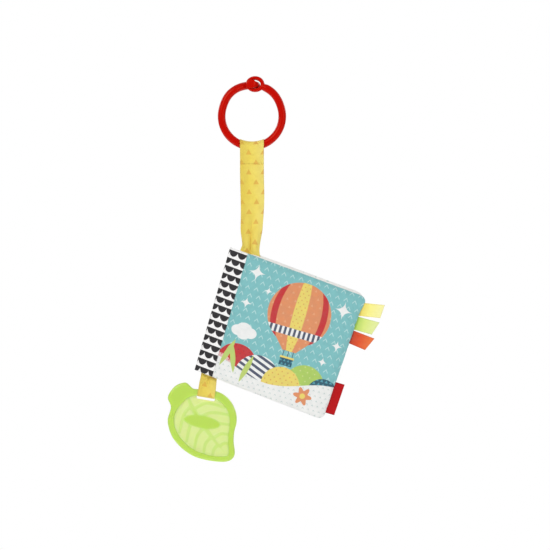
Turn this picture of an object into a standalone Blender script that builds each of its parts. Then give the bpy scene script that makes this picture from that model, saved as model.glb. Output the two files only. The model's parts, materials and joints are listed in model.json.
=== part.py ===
"""Crinkle cloth book on a clip ring, hanging as it does in use.

+X is to the viewer's right, +Y away from the viewer and +Z up. The origin is the place under the
ring's clasp where a hook or a pram bar bears. The ring, its strap and the teether are placed one
below the other; the book is modelled in its own frame, with X across the cover from the spine,
Y through the leaves and Z up along the spine.
"""
import bpy
import bmesh
from math import atan2, cos, hypot, pi, radians, sin, sqrt, tan
from mathutils import Matrix, Vector

MM = 0.001

# Clip ring: one springy moulding, open at the clasp
RING_OUTER_D = 65.0 * MM
RING_TUBE_D = 7.4 * MM
RING_SPLIT = 0.3 * MM
EYE_WIDTH = 17.8 * MM
EYE_HEIGHT = 15.2 * MM
EYE_HOLE_WIDTH = 13.6 * MM
EYE_HOLE_HEIGHT = 7.8 * MM
EYE_DEPTH = 5.2 * MM
EYE_SHIFT = 3.0 * MM
EYE_RISE = 1.6 * MM
EYE_EDGE = 1.1 * MM
PEG_D = 6.2 * MM
PEG_PROUD = 0.8 * MM
PEG_EDGE = 0.9 * MM
CLASP_CLEARANCE = 0.5 * MM

# Hang strap: a folded strip of printed cotton, stitched into a loop round the ring
STRAP_WIDTH = 23.0 * MM
STRAP_GATHER_WIDTH = 15.8 * MM
STRAP_FOOT_WIDTH = 18.6 * MM
STRAP_PLY = 0.9 * MM
STRAP_PLY_SPACING = 1.0 * MM
STRAP_PINCH = 0.6 * MM
STRAP_LENGTH = 86.0 * MM
STRAP_LEAN = -1.6 * MM
STRAP_FOLD_DEPTH = 1.5 * MM
LOOP_DROP = 15.9 * MM
LOOP_CLEARANCE = 0.7 * MM
BEND_GAP = 0.35 * MM

# Book: two padded covers and one leaf, sewn into a band of cloth that is the spine
BOOK_TILT = radians(16.2)
SPINE_HEIGHT = 121.0 * MM
TOP_WIDTH = 134.0 * MM
BOTTOM_WIDTH = 128.0 * MM
TOP_SAG = 9.6 * MM
BOTTOM_SAG = 11.3 * MM
CORNER_R = 6.5 * MM
SPINE_CORNER_R = 1.2 * MM
BAND_WIDTH = 16.0 * MM
TURN_INSET = 1.0 * MM
TURN_REACH = 9.5 * MM
COVER_T = 3.0 * MM
PAGE_T = 2.0 * MM
LEAF_GAP = 0.5 * MM
CLOTH_T = 0.6 * MM
FILM_T = 0.12 * MM
WADDING_T = 1.0 * MM
LAYER_GAP = 0.2 * MM
SEAM_T = 3.0 * MM
CROWN = 0.25 * MM
CROWN_INSET = 14.0 * MM
STRAP_FROM_SPINE = 18.2 * MM
TAB_GAP = 0.8 * MM

# Satin ribbons and the side label, sewn into the front cover's fore edge
RIBBON_PLY = 0.35 * MM
RIBBON_FOLD_R = 0.75 * MM
RIBBON_BASE_SPACING = 0.45 * MM
RIBBON_PITCH = 13.9 * MM
RIBBON_WIDTH = 13.0 * MM
FIRST_RIBBON_DROP = 12.2 * MM
YELLOW_LENGTH = 19.6 * MM
LIME_LENGTH = 19.0 * MM
ORANGE_LENGTH = 18.6 * MM
YELLOW_LIFT = 3.4 * MM
LIME_LIFT = 0.2 * MM
ORANGE_LIFT = -1.8 * MM
LABEL_HEIGHT = 30.6 * MM
LABEL_REACH = 8.0 * MM
LABEL_RISE = 22.3 * MM
LABEL_T = 0.9 * MM

# Teether strap and the leaf that it holds
TEETHER_STRAP_BASE_WIDTH = 15.8 * MM
TEETHER_STRAP_WIDTH = 16.6 * MM
TEETHER_STRAP_LENGTH = 16.2 * MM
TEETHER_STRAP_LEAN = -2.4 * MM
TEETHER_STRAP_FROM_SPINE = 13.0 * MM
LEAF_WIDTH = 66.0 * MM
LEAF_HEIGHT = 75.8 * MM
LEAF_T = 7.0 * MM
LEAF_EDGE = 2.4 * MM
MEMBRANE_T = 2.2 * MM
RIM_AT_SLOT = 6.0 * MM
SLOT_HEIGHT = 4.4 * MM
SLOT_SPARE = 2.0 * MM
SLOT_TILT = radians(9.5)
VEIN_D = 3.3 * MM
MIDRIB_D = 3.9 * MM
MIDRIB_TIP_SHARE = 0.45
OVAL_LENGTH = 34.6 * MM
OVAL_WIDTH = 11.6 * MM
OVAL_T = 4.2 * MM
OVAL_TILT = radians(11.0)
VEIN_TIP_SHARE = 0.8

# How far a cutter reaches past what it cuts, and how near two points are welded
OVERRUN = 2.0 * MM
WELD = 0.01 * MM

# Shares of the ring's rod where it runs into the eye, halfway and at the eye
EYE_BLEND_SHARES = (0.86, 0.62)
SQUARE_END_SHARE = 1 / 3

# Shares of a strap's run: its straight legs, where it gathers, spreads again and slants at the foot
LOOP_LEG_SHARE = 0.36
GATHER_SHARES = (0.15, 0.87)
SPREAD_SHARES = (0.90, 1.0)
SLANT_SHARES = (0.75, 1.0)
STRAP_FOLDS = 3
TEETHER_LEG_SHARE = 0.33
TEETHER_NECK_SHARE = 0.8
TEETHER_PINCH_SHARE = 0.05

# Shares of a ribbon's length: how soon its plies part, and where its fold begins
RIBBON_PART_SHARE = 0.42
RIBBON_STRAIGHT_SHARE = 0.8

# Outlines of the leaf as shares of its width and height, counted from its lower left
LEAF_OUTLINE_SHARES = [
    (0.004, 0.800), (0.045, 0.893), (0.135, 0.968), (0.252, 0.998), (0.312, 0.968), (0.372, 0.921),
    (0.470, 0.913), (0.707, 0.886), (0.839, 0.827), (0.932, 0.735), (0.990, 0.607), (0.994, 0.490),
    (0.962, 0.380), (0.953, 0.250), (0.970, 0.120), (0.940, 0.045), (0.855, 0.006), (0.720, 0.004),
    (0.535, 0.029), (0.363, 0.078), (0.202, 0.175), (0.079, 0.298), (0.017, 0.430), (0.004, 0.545),
    (0.048, 0.690),
]
POCKET_OUTLINE_SHARES = [
    (0.202, 0.735), (0.290, 0.806), (0.400, 0.836), (0.555, 0.820), (0.710, 0.788), (0.818, 0.712),
    (0.885, 0.616), (0.902, 0.500), (0.884, 0.350), (0.878, 0.230), (0.886, 0.115), (0.850, 0.072),
    (0.686, 0.069), (0.535, 0.097), (0.393, 0.145), (0.272, 0.221), (0.171, 0.317), (0.105, 0.430),
    (0.089, 0.535), (0.121, 0.642),
]
SLOT_SHARE = (0.562, 0.866)
OVAL_SHARE = (0.495, 0.505)
MIDRIB_SHARES = [
    (0.300, 0.805), (0.352, 0.690), (0.440, 0.560), (0.560, 0.405), (0.700, 0.245), (0.829, 0.122),
]
LEFT_VEIN_SHARES = [
    [(0.330, 0.720), (0.235, 0.600), (0.180, 0.420)],
    [(0.420, 0.585), (0.320, 0.470), (0.275, 0.290)],
    [(0.520, 0.455), (0.420, 0.345), (0.385, 0.200)],
    [(0.628, 0.322), (0.540, 0.245), (0.522, 0.140)],
    [(0.722, 0.212), (0.665, 0.165), (0.650, 0.105)],
]
RIGHT_VEIN_SHARES = [
    [(0.375, 0.650), (0.540, 0.735), (0.760, 0.690)],
    [(0.450, 0.545), (0.620, 0.600), (0.840, 0.585)],
    [(0.545, 0.425), (0.700, 0.480), (0.860, 0.470)],
    [(0.640, 0.315), (0.760, 0.360), (0.850, 0.350)],
    [(0.735, 0.205), (0.800, 0.240), (0.856, 0.238)],
]

# How a cover's cloth rolls over at its edge, as shares of its rise from the seam
EDGE_ROLL_SHARES = [(0.0, 0.0), (0.10, 0.55), (0.45, 0.88), (1.05, 1.0)]

# Mesh fineness: steps along arcs, and rows and columns of each strip of cloth
ARC_STEPS = 20
CORNER_STEPS = 5
LEAVE_STEPS = 4
BEND_STEPS = 5
RIB_STEPS = 3
EYE_SIDES = 28
RING_RESOLUTION = 4
RIB_RESOLUTION = 2
LOOP_GRID = (26, 6)
STRAP_GRID = (30, 8)
FOLD_GRID = (26, 3)
RIBBON_GRID = (18, 2)
TEETHER_STRAP_GRID = (26, 4)
SMOOTH_LIMIT = radians(40)

# Turns an outline drawn flat upright, so that its Y is the object's Z
UPRIGHT = Matrix.Rotation(pi / 2, 4, "X")

# Sizes that follow from the ones above
RING_R = (RING_OUTER_D - RING_TUBE_D) / 2
EYE_UP = RING_R + EYE_RISE
RING_CENTRE = Vector((0, 0, EYE_HEIGHT / 2 - EYE_UP))
TUBE_R = RING_TUBE_D / 2
RING_FOOT = RING_CENTRE - Vector((0, 0, RING_R))
STITCH = RING_FOOT - Vector((0, 0, LOOP_DROP))
STRAP_FOOT = STITCH + Vector((STRAP_LEAN, 0, -STRAP_LENGTH))
STRAP_HALF_T = (STRAP_PLY_SPACING + STRAP_PLY) / 2

BACK_IN_Y = LEAF_GAP / 2
BACK_SEAM_Y = BACK_IN_Y + COVER_T / 2
PAGE_SEAM_Y = -LEAF_GAP / 2 - PAGE_T / 2
FRONT_SEAM_Y = -LEAF_GAP * 3 / 2 - PAGE_T - COVER_T / 2
FRONT_FACE_Y = FRONT_SEAM_Y - COVER_T / 2
BACK_FACE_Y = BACK_SEAM_Y + COVER_T / 2
TURN_Y = (FRONT_FACE_Y + BACK_FACE_Y) / 2
LEAF_START = TURN_INSET + TURN_REACH
TOP_SLOPE = TOP_SAG / TOP_WIDTH
BOTTOM_SLOPE = BOTTOM_SAG / BOTTOM_WIDTH

FORE_RISE = SPINE_HEIGHT + BOTTOM_SAG - TOP_SAG
LABEL_DROP = FORE_RISE - LABEL_RISE
BOOK_TURN = Matrix.Rotation(BOOK_TILT, 4, "Y")
TOP_TURN = Matrix.Rotation(BOOK_TILT + atan2(TOP_SAG, TOP_WIDTH), 4, "Y")
FOOT_TURN = Matrix.Rotation(BOOK_TILT + atan2(BOTTOM_SAG, BOTTOM_WIDTH), 4, "Y")
FORE_TURN = Matrix.Rotation(BOOK_TILT + atan2(TOP_WIDTH - BOTTOM_WIDTH, FORE_RISE), 4, "Y")
SLOT_TURN = Matrix.Rotation(SLOT_TILT, 4, "Y")
FOOT_IN_BOOK = Vector((STRAP_FROM_SPINE, BACK_SEAM_Y, TAB_GAP - TOP_SLOPE * STRAP_FROM_SPINE))
BOOK_CORNER = STRAP_FOOT - BOOK_TURN.to_3x3() @ Vector((FOOT_IN_BOOK.x, 0, FOOT_IN_BOOK.z))
BOOK_FRAME = Matrix.Translation(BOOK_CORNER) @ BOOK_TURN

TEETHER_BASE = BOOK_FRAME @ Vector((
    TEETHER_STRAP_FROM_SPINE,
    BACK_SEAM_Y,
    -SPINE_HEIGHT - BOTTOM_SLOPE * TEETHER_STRAP_FROM_SPINE - TAB_GAP,
))
RIM_CENTRE = TEETHER_BASE + Vector((TEETHER_STRAP_LEAN, 0, -TEETHER_STRAP_LENGTH))
RIM_R = hypot(RIM_AT_SLOT / 2 - LEAF_EDGE, LEAF_T / 2 - LEAF_EDGE) + LEAF_EDGE
RIM_CORNER_R = hypot(LEAF_T / 2, sqrt(2) * RIM_R - LEAF_T / 2)
RIM_LOOP_R = max(RIM_CORNER_R, RIM_R) + LAYER_GAP + STRAP_PLY / 2


def start_scene():
    """Empty the file and return the collections of the part and of its cutters."""
    for old in list(bpy.data.objects):
        bpy.data.objects.remove(old, do_unlink=True)
    made = []
    for name in ("crinkle_cloth_book", "cutters"):
        collection = bpy.data.collections.new(name)
        bpy.context.scene.collection.children.link(collection)
        made.append(collection)
    return made


PART, CUTTERS = start_scene()


def material(name, colour, roughness):
    """Principled material with the piece's colour and roughness."""
    made = bpy.data.materials.new(name)
    made.use_nodes = True
    shader = made.node_tree.nodes["Principled BSDF"]
    shader.inputs["Base Color"].default_value = (*colour, 1.0)
    shader.inputs["Roughness"].default_value = roughness
    shader.inputs["Metallic"].default_value = 0.0
    made.diffuse_color = (*colour, 1.0)
    return made


def pivot(name, place, turn=Matrix.Identity(4), parent=None):
    """Empty on a joint's axis, which carries the pieces that turn there."""
    empty = bpy.data.objects.new(name, None)
    empty.empty_display_size = RING_TUBE_D
    PART.objects.link(empty)
    hang(empty, Matrix.Translation(place) @ turn, parent)
    return empty


def hang(thing, world, parent):
    """Parent an object and keep it at its place in the world."""
    thing.parent = parent
    thing.matrix_world = world
    bpy.context.view_layer.update()


def mesh_object(name, bm, finish, collection=PART):
    """New object from a bmesh, which is freed."""
    mesh = bpy.data.meshes.new(name)
    bm.to_mesh(mesh)
    bm.free()
    thing = bpy.data.objects.new(name, mesh)
    if finish:
        mesh.materials.append(finish)
    collection.objects.link(thing)
    return thing


def smooth(thing):
    """Shade a piece smooth apart from its real edges."""
    thing.data.shade_smooth()
    thing.data.set_sharp_from_angle(angle=SMOOTH_LIMIT)


def curve_mesh(name, curve, world, finish, collection=PART):
    """Curve made a closed mesh at its place, its loose caps welded."""
    source = bpy.data.objects.new(name + "_path", curve)
    collection.objects.link(source)
    source.matrix_world = world
    bpy.context.view_layer.update()
    evaluated = source.evaluated_get(bpy.context.evaluated_depsgraph_get())
    bm = bmesh.new()
    mesh = bpy.data.meshes.new_from_object(evaluated)
    bm.from_mesh(mesh)
    bpy.data.meshes.remove(mesh)
    bpy.data.objects.remove(source, do_unlink=True)
    bpy.data.curves.remove(curve)
    bmesh.ops.remove_doubles(bm, verts=bm.verts, dist=WELD)
    bmesh.ops.recalc_face_normals(bm, faces=bm.faces)
    thing = mesh_object(name, bm, finish, collection)
    thing.matrix_world = world
    return thing


def cut(thing, cutter, operation="DIFFERENCE"):
    """Boolean that is applied at once; the cutter stays as a hidden guide."""
    cutter.hide_render = True
    cutter.display_type = "WIRE"
    bpy.context.view_layer.update()
    boolean = thing.modifiers.new(cutter.name, "BOOLEAN")
    boolean.operation = operation
    boolean.object = cutter
    bpy.context.view_layer.update()
    evaluated = thing.evaluated_get(bpy.context.evaluated_depsgraph_get())
    mesh = bpy.data.meshes.new_from_object(evaluated)
    thing.modifiers.remove(boolean)
    thing.data = mesh


def tube(name, points, radius, finish, shares, resolution, collection=PART):
    """Round rod along points; shares thin or thicken it from point to point."""
    curve = bpy.data.curves.new(name, "CURVE")
    curve.dimensions = "3D"
    curve.bevel_depth = radius
    curve.bevel_resolution = resolution
    curve.use_fill_caps = True
    spline = curve.splines.new("POLY")
    spline.points.add(len(points) - 1)
    for knot, point, share in zip(spline.points, points, shares):
        knot.co = (*point, 1.0)
        knot.radius = share
    return curve_mesh(name, curve, Matrix.Identity(4), finish, collection)


def plate(name, outline, thickness, finish, world, bevel=0.0, bezier=False, collection=PART):
    """Flat piece from an outline in X and Z, centred on its frame's Y."""
    curve = bpy.data.curves.new(name, "CURVE")
    curve.dimensions = "2D"
    curve.fill_mode = "BOTH"
    curve.extrude = thickness / 2 - bevel
    curve.bevel_depth = bevel
    curve.bevel_resolution = 2
    curve.offset = -bevel
    if bezier:
        curve.resolution_u = 2
        spline = curve.splines.new("BEZIER")
        spline.bezier_points.add(len(outline) - 1)
        for knot, (x, z) in zip(spline.bezier_points, outline):
            knot.co = (x, z, 0)
            knot.handle_left_type = knot.handle_right_type = "AUTO"
    else:
        spline = curve.splines.new("POLY")
        spline.points.add(len(outline) - 1)
        for point, (x, z) in zip(spline.points, outline):
            point.co = (x, z, 0, 1)
    spline.use_cyclic_u = True
    return curve_mesh(name, curve, world @ UPRIGHT, finish, collection)


def fillet(before, corner, after, radius):
    """Points of the arc that rounds one corner of an outline."""
    to_before = (before - corner).normalized()
    to_after = (after - corner).normalized()
    half = to_before.angle(to_after) / 2
    centre = corner + (to_before + to_after).normalized() * radius / sin(half)
    start = corner + to_before * radius / tan(half) - centre
    end = corner + to_after * radius / tan(half) - centre
    sweep = atan2(start.x * end.y - start.y * end.x, start.dot(end))
    turns = [Matrix.Rotation(sweep * step / CORNER_STEPS, 2) for step in range(CORNER_STEPS + 1)]
    return [centre + turn @ start for turn in turns]


def leaf_outline(start, inset=0.0, end=None):
    """Outline of a leaf of the book from a distance off the spine, drawn in by an inset."""
    span = TOP_WIDTH if end is None else end
    foot_span = BOTTOM_WIDTH if end is None else end
    corners = [
        Vector((start, -TOP_SLOPE * start)),
        Vector((start, -SPINE_HEIGHT - BOTTOM_SLOPE * start)),
        Vector((foot_span, -SPINE_HEIGHT - BOTTOM_SLOPE * foot_span)),
        Vector((span, -TOP_SLOPE * span)),
    ]
    outer_r = SPINE_CORNER_R if end is not None else CORNER_R
    radii = [SPINE_CORNER_R, SPINE_CORNER_R, outer_r, outer_r]
    moved = []
    for index, corner in enumerate(corners):
        before = (corners[index - 1] - corner).normalized()
        after = (corners[(index + 1) % 4] - corner).normalized()
        half = before.angle(after) / 2
        moved.append(corner + (before + after).normalized() * inset / sin(half))
    outline = []
    for index, corner in enumerate(moved):
        radius = max(radii[index] - inset, SPINE_CORNER_R / 2)
        outline += fillet(moved[index - 1], corner, moved[(index + 1) % 4], radius)
    return outline


def cloth_shell(name, start, inset, seam_y, rise, finish, parent, crown=0.0):
    """Cloth face of a padded leaf, rolled over at its edges and open at the seam."""
    depth = abs(rise)
    toward = rise / depth
    rings = [(inset_share * depth, rise_share * depth) for inset_share, rise_share in EDGE_ROLL_SHARES]
    if crown:
        rings.append((CROWN_INSET, depth + crown))
    bm = bmesh.new()
    edges = []
    for drawn_in, lift in rings:
        outline = leaf_outline(start, inset + drawn_in)
        verts = [bm.verts.new((x, seam_y + toward * lift, z)) for x, z in outline]
        edges += [bm.edges.new((verts[index - 1], verts[index])) for index in range(len(verts))]
    bmesh.ops.bridge_loops(bm, edges=edges)
    face = bm.faces.new(verts)
    bmesh.ops.recalc_face_normals(bm, faces=bm.faces)
    face.normal_update()
    turned_in = face.normal.y * toward < 0
    if turned_in:
        bmesh.ops.reverse_faces(bm, faces=bm.faces)
    thing = mesh_object(name, bm, finish)
    wall = thing.modifiers.new("cloth", "SOLIDIFY")
    wall.thickness = CLOTH_T
    wall.offset = -1
    hang(thing, BOOK_FRAME, parent)
    return thing


def sheet(name, grid, place, ply, finish, parent, pinch=None):
    """Cloth strip from a grid whose points a function places, from 0 to 1 along and -1 to 1 across."""
    bm = bmesh.new()
    bmesh.ops.create_grid(bm, x_segments=grid[1], y_segments=grid[0], size=1.0)
    weights = {}
    for vert in bm.verts:
        across = vert.co.x
        along = (vert.co.y + 1) / 2
        weights[vert.index] = pinch(along) if pinch else 1.0
        vert.co = place(along, across)
    bm.verts.index_update()
    thing = mesh_object(name, bm, finish)
    group = thing.vertex_groups.new(name="thickness")
    for index, weight in weights.items():
        group.add([index], weight, "REPLACE")
    wall = thing.modifiers.new("cloth", "SOLIDIFY")
    wall.thickness = ply
    wall.offset = 0
    wall.vertex_group = group.name
    wall.use_even_offset = True
    hang(thing, Matrix.Identity(4), parent)
    smooth(thing)
    return thing


def ease(share, start=0.0, end=1.0):
    """Smooth step from 0 at one share to 1 at another."""
    share = min(max((share - start) / (end - start), 0.0), 1.0)
    return share * share * (3 - 2 * share)


def on_ring(degrees_from_foot):
    """Point on the ring's middle line, counted from its foot towards +X."""
    angle = radians(degrees_from_foot)
    return RING_CENTRE + RING_R * Vector((sin(angle), 0, -cos(angle)))


def ring_arms(red):
    """The ring's two arms: one ends in the eye, the other in the peg that snaps into it."""
    ring_pivot = pivot("ring", RING_CENTRE)
    opening = pivot("ring_opens", RING_FOOT, parent=ring_pivot)
    start = Vector((RING_SPLIT / 2, 0, 0))
    square_end = Vector((TUBE_R * SQUARE_END_SHARE, 0, 0))
    eye_centre = RING_CENTRE + Vector((EYE_SHIFT, 0, EYE_UP))

    last = 180 - 180 / pi * (EYE_SHIFT + EYE_HOLE_WIDTH / 2 + TUBE_R) / RING_R
    points = [on_ring(last * step / ARC_STEPS) for step in range(ARC_STEPS + 1)]
    points[0:1] = [points[0] + start, points[0] + square_end]
    eye_side = eye_centre + Vector((EYE_WIDTH / 2, 0, 0))
    shares = [1.0] * len(points)
    points.append((points[-1] + eye_side) / 2)
    shares.append(EYE_BLEND_SHARES[0])
    points.append(eye_centre + Vector(((EYE_WIDTH + EYE_HOLE_WIDTH) / 4, 0, 0)))
    shares.append(EYE_BLEND_SHARES[1])
    eye_arm = tube("ring_eye_arm", points, TUBE_R, red, shares, RING_RESOLUTION)

    bm = bmesh.new()
    bmesh.ops.create_cone(
        bm, cap_ends=True, segments=EYE_SIDES, radius1=EYE_WIDTH / 2, radius2=EYE_WIDTH / 2, depth=EYE_DEPTH
    )
    bmesh.ops.scale(bm, vec=(1, EYE_HEIGHT / EYE_WIDTH, 1), verts=bm.verts)
    rims = [edge for edge in bm.edges if abs(edge.verts[0].co.z - edge.verts[1].co.z) < EYE_DEPTH / 2]
    bmesh.ops.bevel(bm, geom=rims, offset=EYE_EDGE, segments=2, profile=0.5, affect="EDGES")
    upright = Matrix.Translation(eye_centre) @ UPRIGHT
    eye = mesh_object("eye_ring", bm, None, CUTTERS)
    eye.matrix_world = upright
    cut(eye_arm, eye, "UNION")

    bm = bmesh.new()
    bmesh.ops.create_cone(
        bm, cap_ends=True, segments=EYE_SIDES, radius1=EYE_HOLE_WIDTH / 2, radius2=EYE_HOLE_WIDTH / 2,
        depth=EYE_DEPTH + 2 * OVERRUN,
    )
    bmesh.ops.scale(bm, vec=(1, EYE_HOLE_HEIGHT / EYE_HOLE_WIDTH, 1), verts=bm.verts)
    hole = mesh_object("eye_hole", bm, None, CUTTERS)
    hole.matrix_world = upright
    cut(eye_arm, hole)
    smooth(eye_arm)
    hang(eye_arm, Matrix.Identity(4), ring_pivot)

    peg_x = eye_centre.x - EYE_HOLE_WIDTH / 2 + PEG_D / 2 + CLASP_CLEARANCE
    peg_r = PEG_D / 2
    behind = EYE_DEPTH / 2 + CLASP_CLEARANCE + peg_r
    bend_start = 180 - 180 / pi * (behind * 2 + EYE_WIDTH / 2 - EYE_SHIFT) / RING_R
    points = [on_ring(-bend_start * step / ARC_STEPS) for step in range(ARC_STEPS + 1)]
    points[0:1] = [points[0] - start, points[0] - square_end]
    shares = [1.0] * len(points)
    leave = points[-1]
    clear_x = eye_centre.x - EYE_HOLE_WIDTH / 2
    for step in range(LEAVE_STEPS):
        share = (step + 1) / LEAVE_STEPS
        points.append(Vector((
            leave.x + (clear_x - leave.x) * share,
            behind * ease(share),
            leave.z + (eye_centre.z - leave.z) * sin(share * pi / 2),
        )))
        shares.append(1.0 - (1.0 - peg_r / TUBE_R) * share)
    bend_r = peg_r + CLASP_CLEARANCE
    for step in range(BEND_STEPS):
        angle = pi / 2 * (step + 1) / BEND_STEPS
        bend_y = behind - bend_r * (1 - cos(angle))
        points.append(Vector((clear_x + bend_r * sin(angle), bend_y, eye_centre.z)))
        shares.append(peg_r / TUBE_R)
    points.append(Vector((peg_x, -EYE_DEPTH / 2 - PEG_PROUD + PEG_EDGE, eye_centre.z)))
    shares.append(peg_r / TUBE_R)
    points.append(Vector((peg_x, -EYE_DEPTH / 2 - PEG_PROUD, eye_centre.z)))
    shares.append((peg_r - PEG_EDGE / 2) / TUBE_R)
    peg_arm = tube("ring_peg_arm", points, TUBE_R, red, shares, RING_RESOLUTION)
    smooth(peg_arm)
    hang(peg_arm, Matrix.Identity(4), opening)
    return ring_pivot


def hang_strap(yellow, ring_pivot):
    """The strap: a loop round the ring down to its stitch line, and the run down to the book."""
    loop_pivot = pivot("loop_slides", RING_CENTRE, parent=ring_pivot)
    strap_pivot = pivot("strap_swings", STITCH, parent=loop_pivot)
    loop_r = TUBE_R + LOOP_CLEARANCE + STRAP_PLY / 2
    leg_y = STRAP_PLY_SPACING / 2

    def loop_place(along, across):
        x = across * STRAP_WIDTH / 2
        tube_z = RING_CENTRE.z - sqrt(RING_R**2 - x**2)
        foot_z = STITCH.z + BEND_GAP
        side = -1 if along < 0.5 else 1
        run = min(along, 1 - along)
        if run < LOOP_LEG_SHARE:
            share = run / LOOP_LEG_SHARE
            y = leg_y + (loop_r - leg_y) * ease(share)
            return Vector((x, side * y, foot_z + (tube_z - foot_z) * share))
        angle = pi / 2 * (run - LOOP_LEG_SHARE) / (0.5 - LOOP_LEG_SHARE)
        return Vector((x, side * loop_r * cos(angle), tube_z + loop_r * sin(angle)))

    sheet("strap_loop", LOOP_GRID, loop_place, STRAP_PLY, yellow, loop_pivot)

    def strap_place(along, across):
        drop = BEND_GAP + along * (STRAP_LENGTH - BEND_GAP)
        gather = ease(along, *GATHER_SHARES)
        spread = ease(along, *SPREAD_SHARES)
        width = STRAP_WIDTH + (STRAP_GATHER_WIDTH - STRAP_WIDTH) * gather
        width += (STRAP_FOOT_WIDTH - STRAP_GATHER_WIDTH) * spread
        x = STITCH.x + STRAP_LEAN * ease(along) + across * width / 2
        fold = STRAP_FOLD_DEPTH / 2 * gather * (1 - spread)
        y = -fold * cos(across * STRAP_FOLDS * pi / 2)
        slope = tan(BOOK_TILT + atan2(TOP_SAG, TOP_WIDTH)) * ease(along, *SLANT_SHARES)
        return Vector((x, y, STITCH.z - drop - (x - STITCH.x - STRAP_LEAN) * slope))

    def strap_pinch(along):
        reach = 2 * STRAP_HALF_T / STRAP_LENGTH
        near_end = min(along, 1 - along)
        thin = STRAP_PINCH / (2 * STRAP_HALF_T)
        return thin + (1 - thin) * min(near_end / reach, 1)

    sheet("hang_strap", STRAP_GRID, strap_place, 2 * STRAP_HALF_T, yellow, strap_pivot, strap_pinch)
    return strap_pivot


def padded_cover(side, seam_y, rise, paint, parent):
    """One padded cover: outer panel, band strip, wadding, crinkle film and lining."""
    toward = 1 if rise > 0 else -1
    joint = BAND_WIDTH + LAYER_GAP / 2
    cloth_shell(side + "_panel", joint, 0, seam_y + toward * LAYER_GAP,
                rise - toward * (LAYER_GAP + CROWN), paint["panel"], parent, CROWN)
    strip = leaf_outline(LEAF_START, end=BAND_WIDTH - LAYER_GAP / 2)
    strip_y = seam_y + rise - toward * (CLOTH_T / 2 + CROWN)
    strip_world = BOOK_FRAME @ Matrix.Translation((0, strip_y, 0))
    hang(plate(side + "_band", strip, CLOTH_T, paint["band"], strip_world), strip_world @ UPRIGHT, parent)
    cloth_shell(side + "_lining", LEAF_START, 0, seam_y - toward * LAYER_GAP,
                -rise + toward * LAYER_GAP, paint["lining"], parent)
    inner = leaf_outline(joint + LAYER_GAP, CLOTH_T * 2 + LAYER_GAP)
    wadding_y = seam_y + toward * (COVER_T / 2 - CROWN - CLOTH_T - LAYER_GAP - WADDING_T / 2)
    wadding_world = BOOK_FRAME @ Matrix.Translation((0, wadding_y, 0))
    hang(plate(side + "_wadding", inner, WADDING_T, paint["wadding"], wadding_world),
         wadding_world @ UPRIGHT, parent)
    film_y = wadding_y - toward * (WADDING_T / 2 + LAYER_GAP / 2 + FILM_T / 2)
    film_world = BOOK_FRAME @ Matrix.Translation((0, film_y, 0))
    hang(plate(side + "_crinkle_film", inner, FILM_T, paint["film"], film_world),
         film_world @ UPRIGHT, parent)


def page_leaf(paint, parent):
    """The inner leaf: two printed faces with crinkle film between them."""
    for name, toward in (("page_front", -1), ("page_back", 1)):
        cloth_shell(name, LEAF_START, LAYER_GAP, PAGE_SEAM_Y + toward * LAYER_GAP,
                    toward * (PAGE_T / 2 - LAYER_GAP), paint["page"], parent)
    film_world = BOOK_FRAME @ Matrix.Translation((0, PAGE_SEAM_Y, 0))
    film = leaf_outline(LEAF_START, CLOTH_T * 2 + LAYER_GAP)
    hang(plate("page_crinkle_film", film, FILM_T, paint["film"], film_world), film_world @ UPRIGHT, parent)


def spine(paint, parent):
    """The band's fold round the back of the book, and the sewn margins of the leaves inside it."""
    fold_r = (BACK_FACE_Y - FRONT_FACE_Y) / 2 - CROWN - CLOTH_T / 2
    reach = LEAF_START - LAYER_GAP
    straight = reach - fold_r - CLOTH_T / 2
    arc = pi * fold_r
    length = 2 * straight + arc

    def fold_place(along, across):
        run = along * length
        if run < straight:
            x, y = reach - run, TURN_Y - fold_r
        elif run > length - straight:
            x, y = reach - (length - run), TURN_Y + fold_r
        else:
            angle = pi * (run - straight) / arc
            x = reach - straight - fold_r * sin(angle)
            y = TURN_Y - fold_r * cos(angle)
        half = SPINE_HEIGHT / 2
        slope = BOTTOM_SLOPE + (TOP_SLOPE - BOTTOM_SLOPE) * (across + 1) / 2
        return BOOK_FRAME @ Vector((x, y, (across - 1) * half - slope * x))

    sheet("spine_fold", FOLD_GRID, fold_place, CLOTH_T, paint["band"], parent)

    left = CLOTH_T + LAYER_GAP * 2
    right = TURN_INSET + sqrt((TURN_REACH - LAYER_GAP) ** 2 - (SEAM_T / 2) ** 2)
    margin = leaf_outline(left, LAYER_GAP, end=right)
    seam_world = BOOK_FRAME @ Matrix.Translation((0, TURN_Y, 0))
    hang(plate("spine_seam", margin, SEAM_T, paint["lining"], seam_world), seam_world @ UPRIGHT, parent)


def fore_edge(drop):
    """Point on the fore edge of a leaf at a drop below its top corner, in the book's frame."""
    share = drop / FORE_RISE
    top = Vector((TOP_WIDTH, 0, -TOP_SAG))
    foot = Vector((BOTTOM_WIDTH, 0, -SPINE_HEIGHT - BOTTOM_SAG))
    return top.lerp(foot, share)


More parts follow.
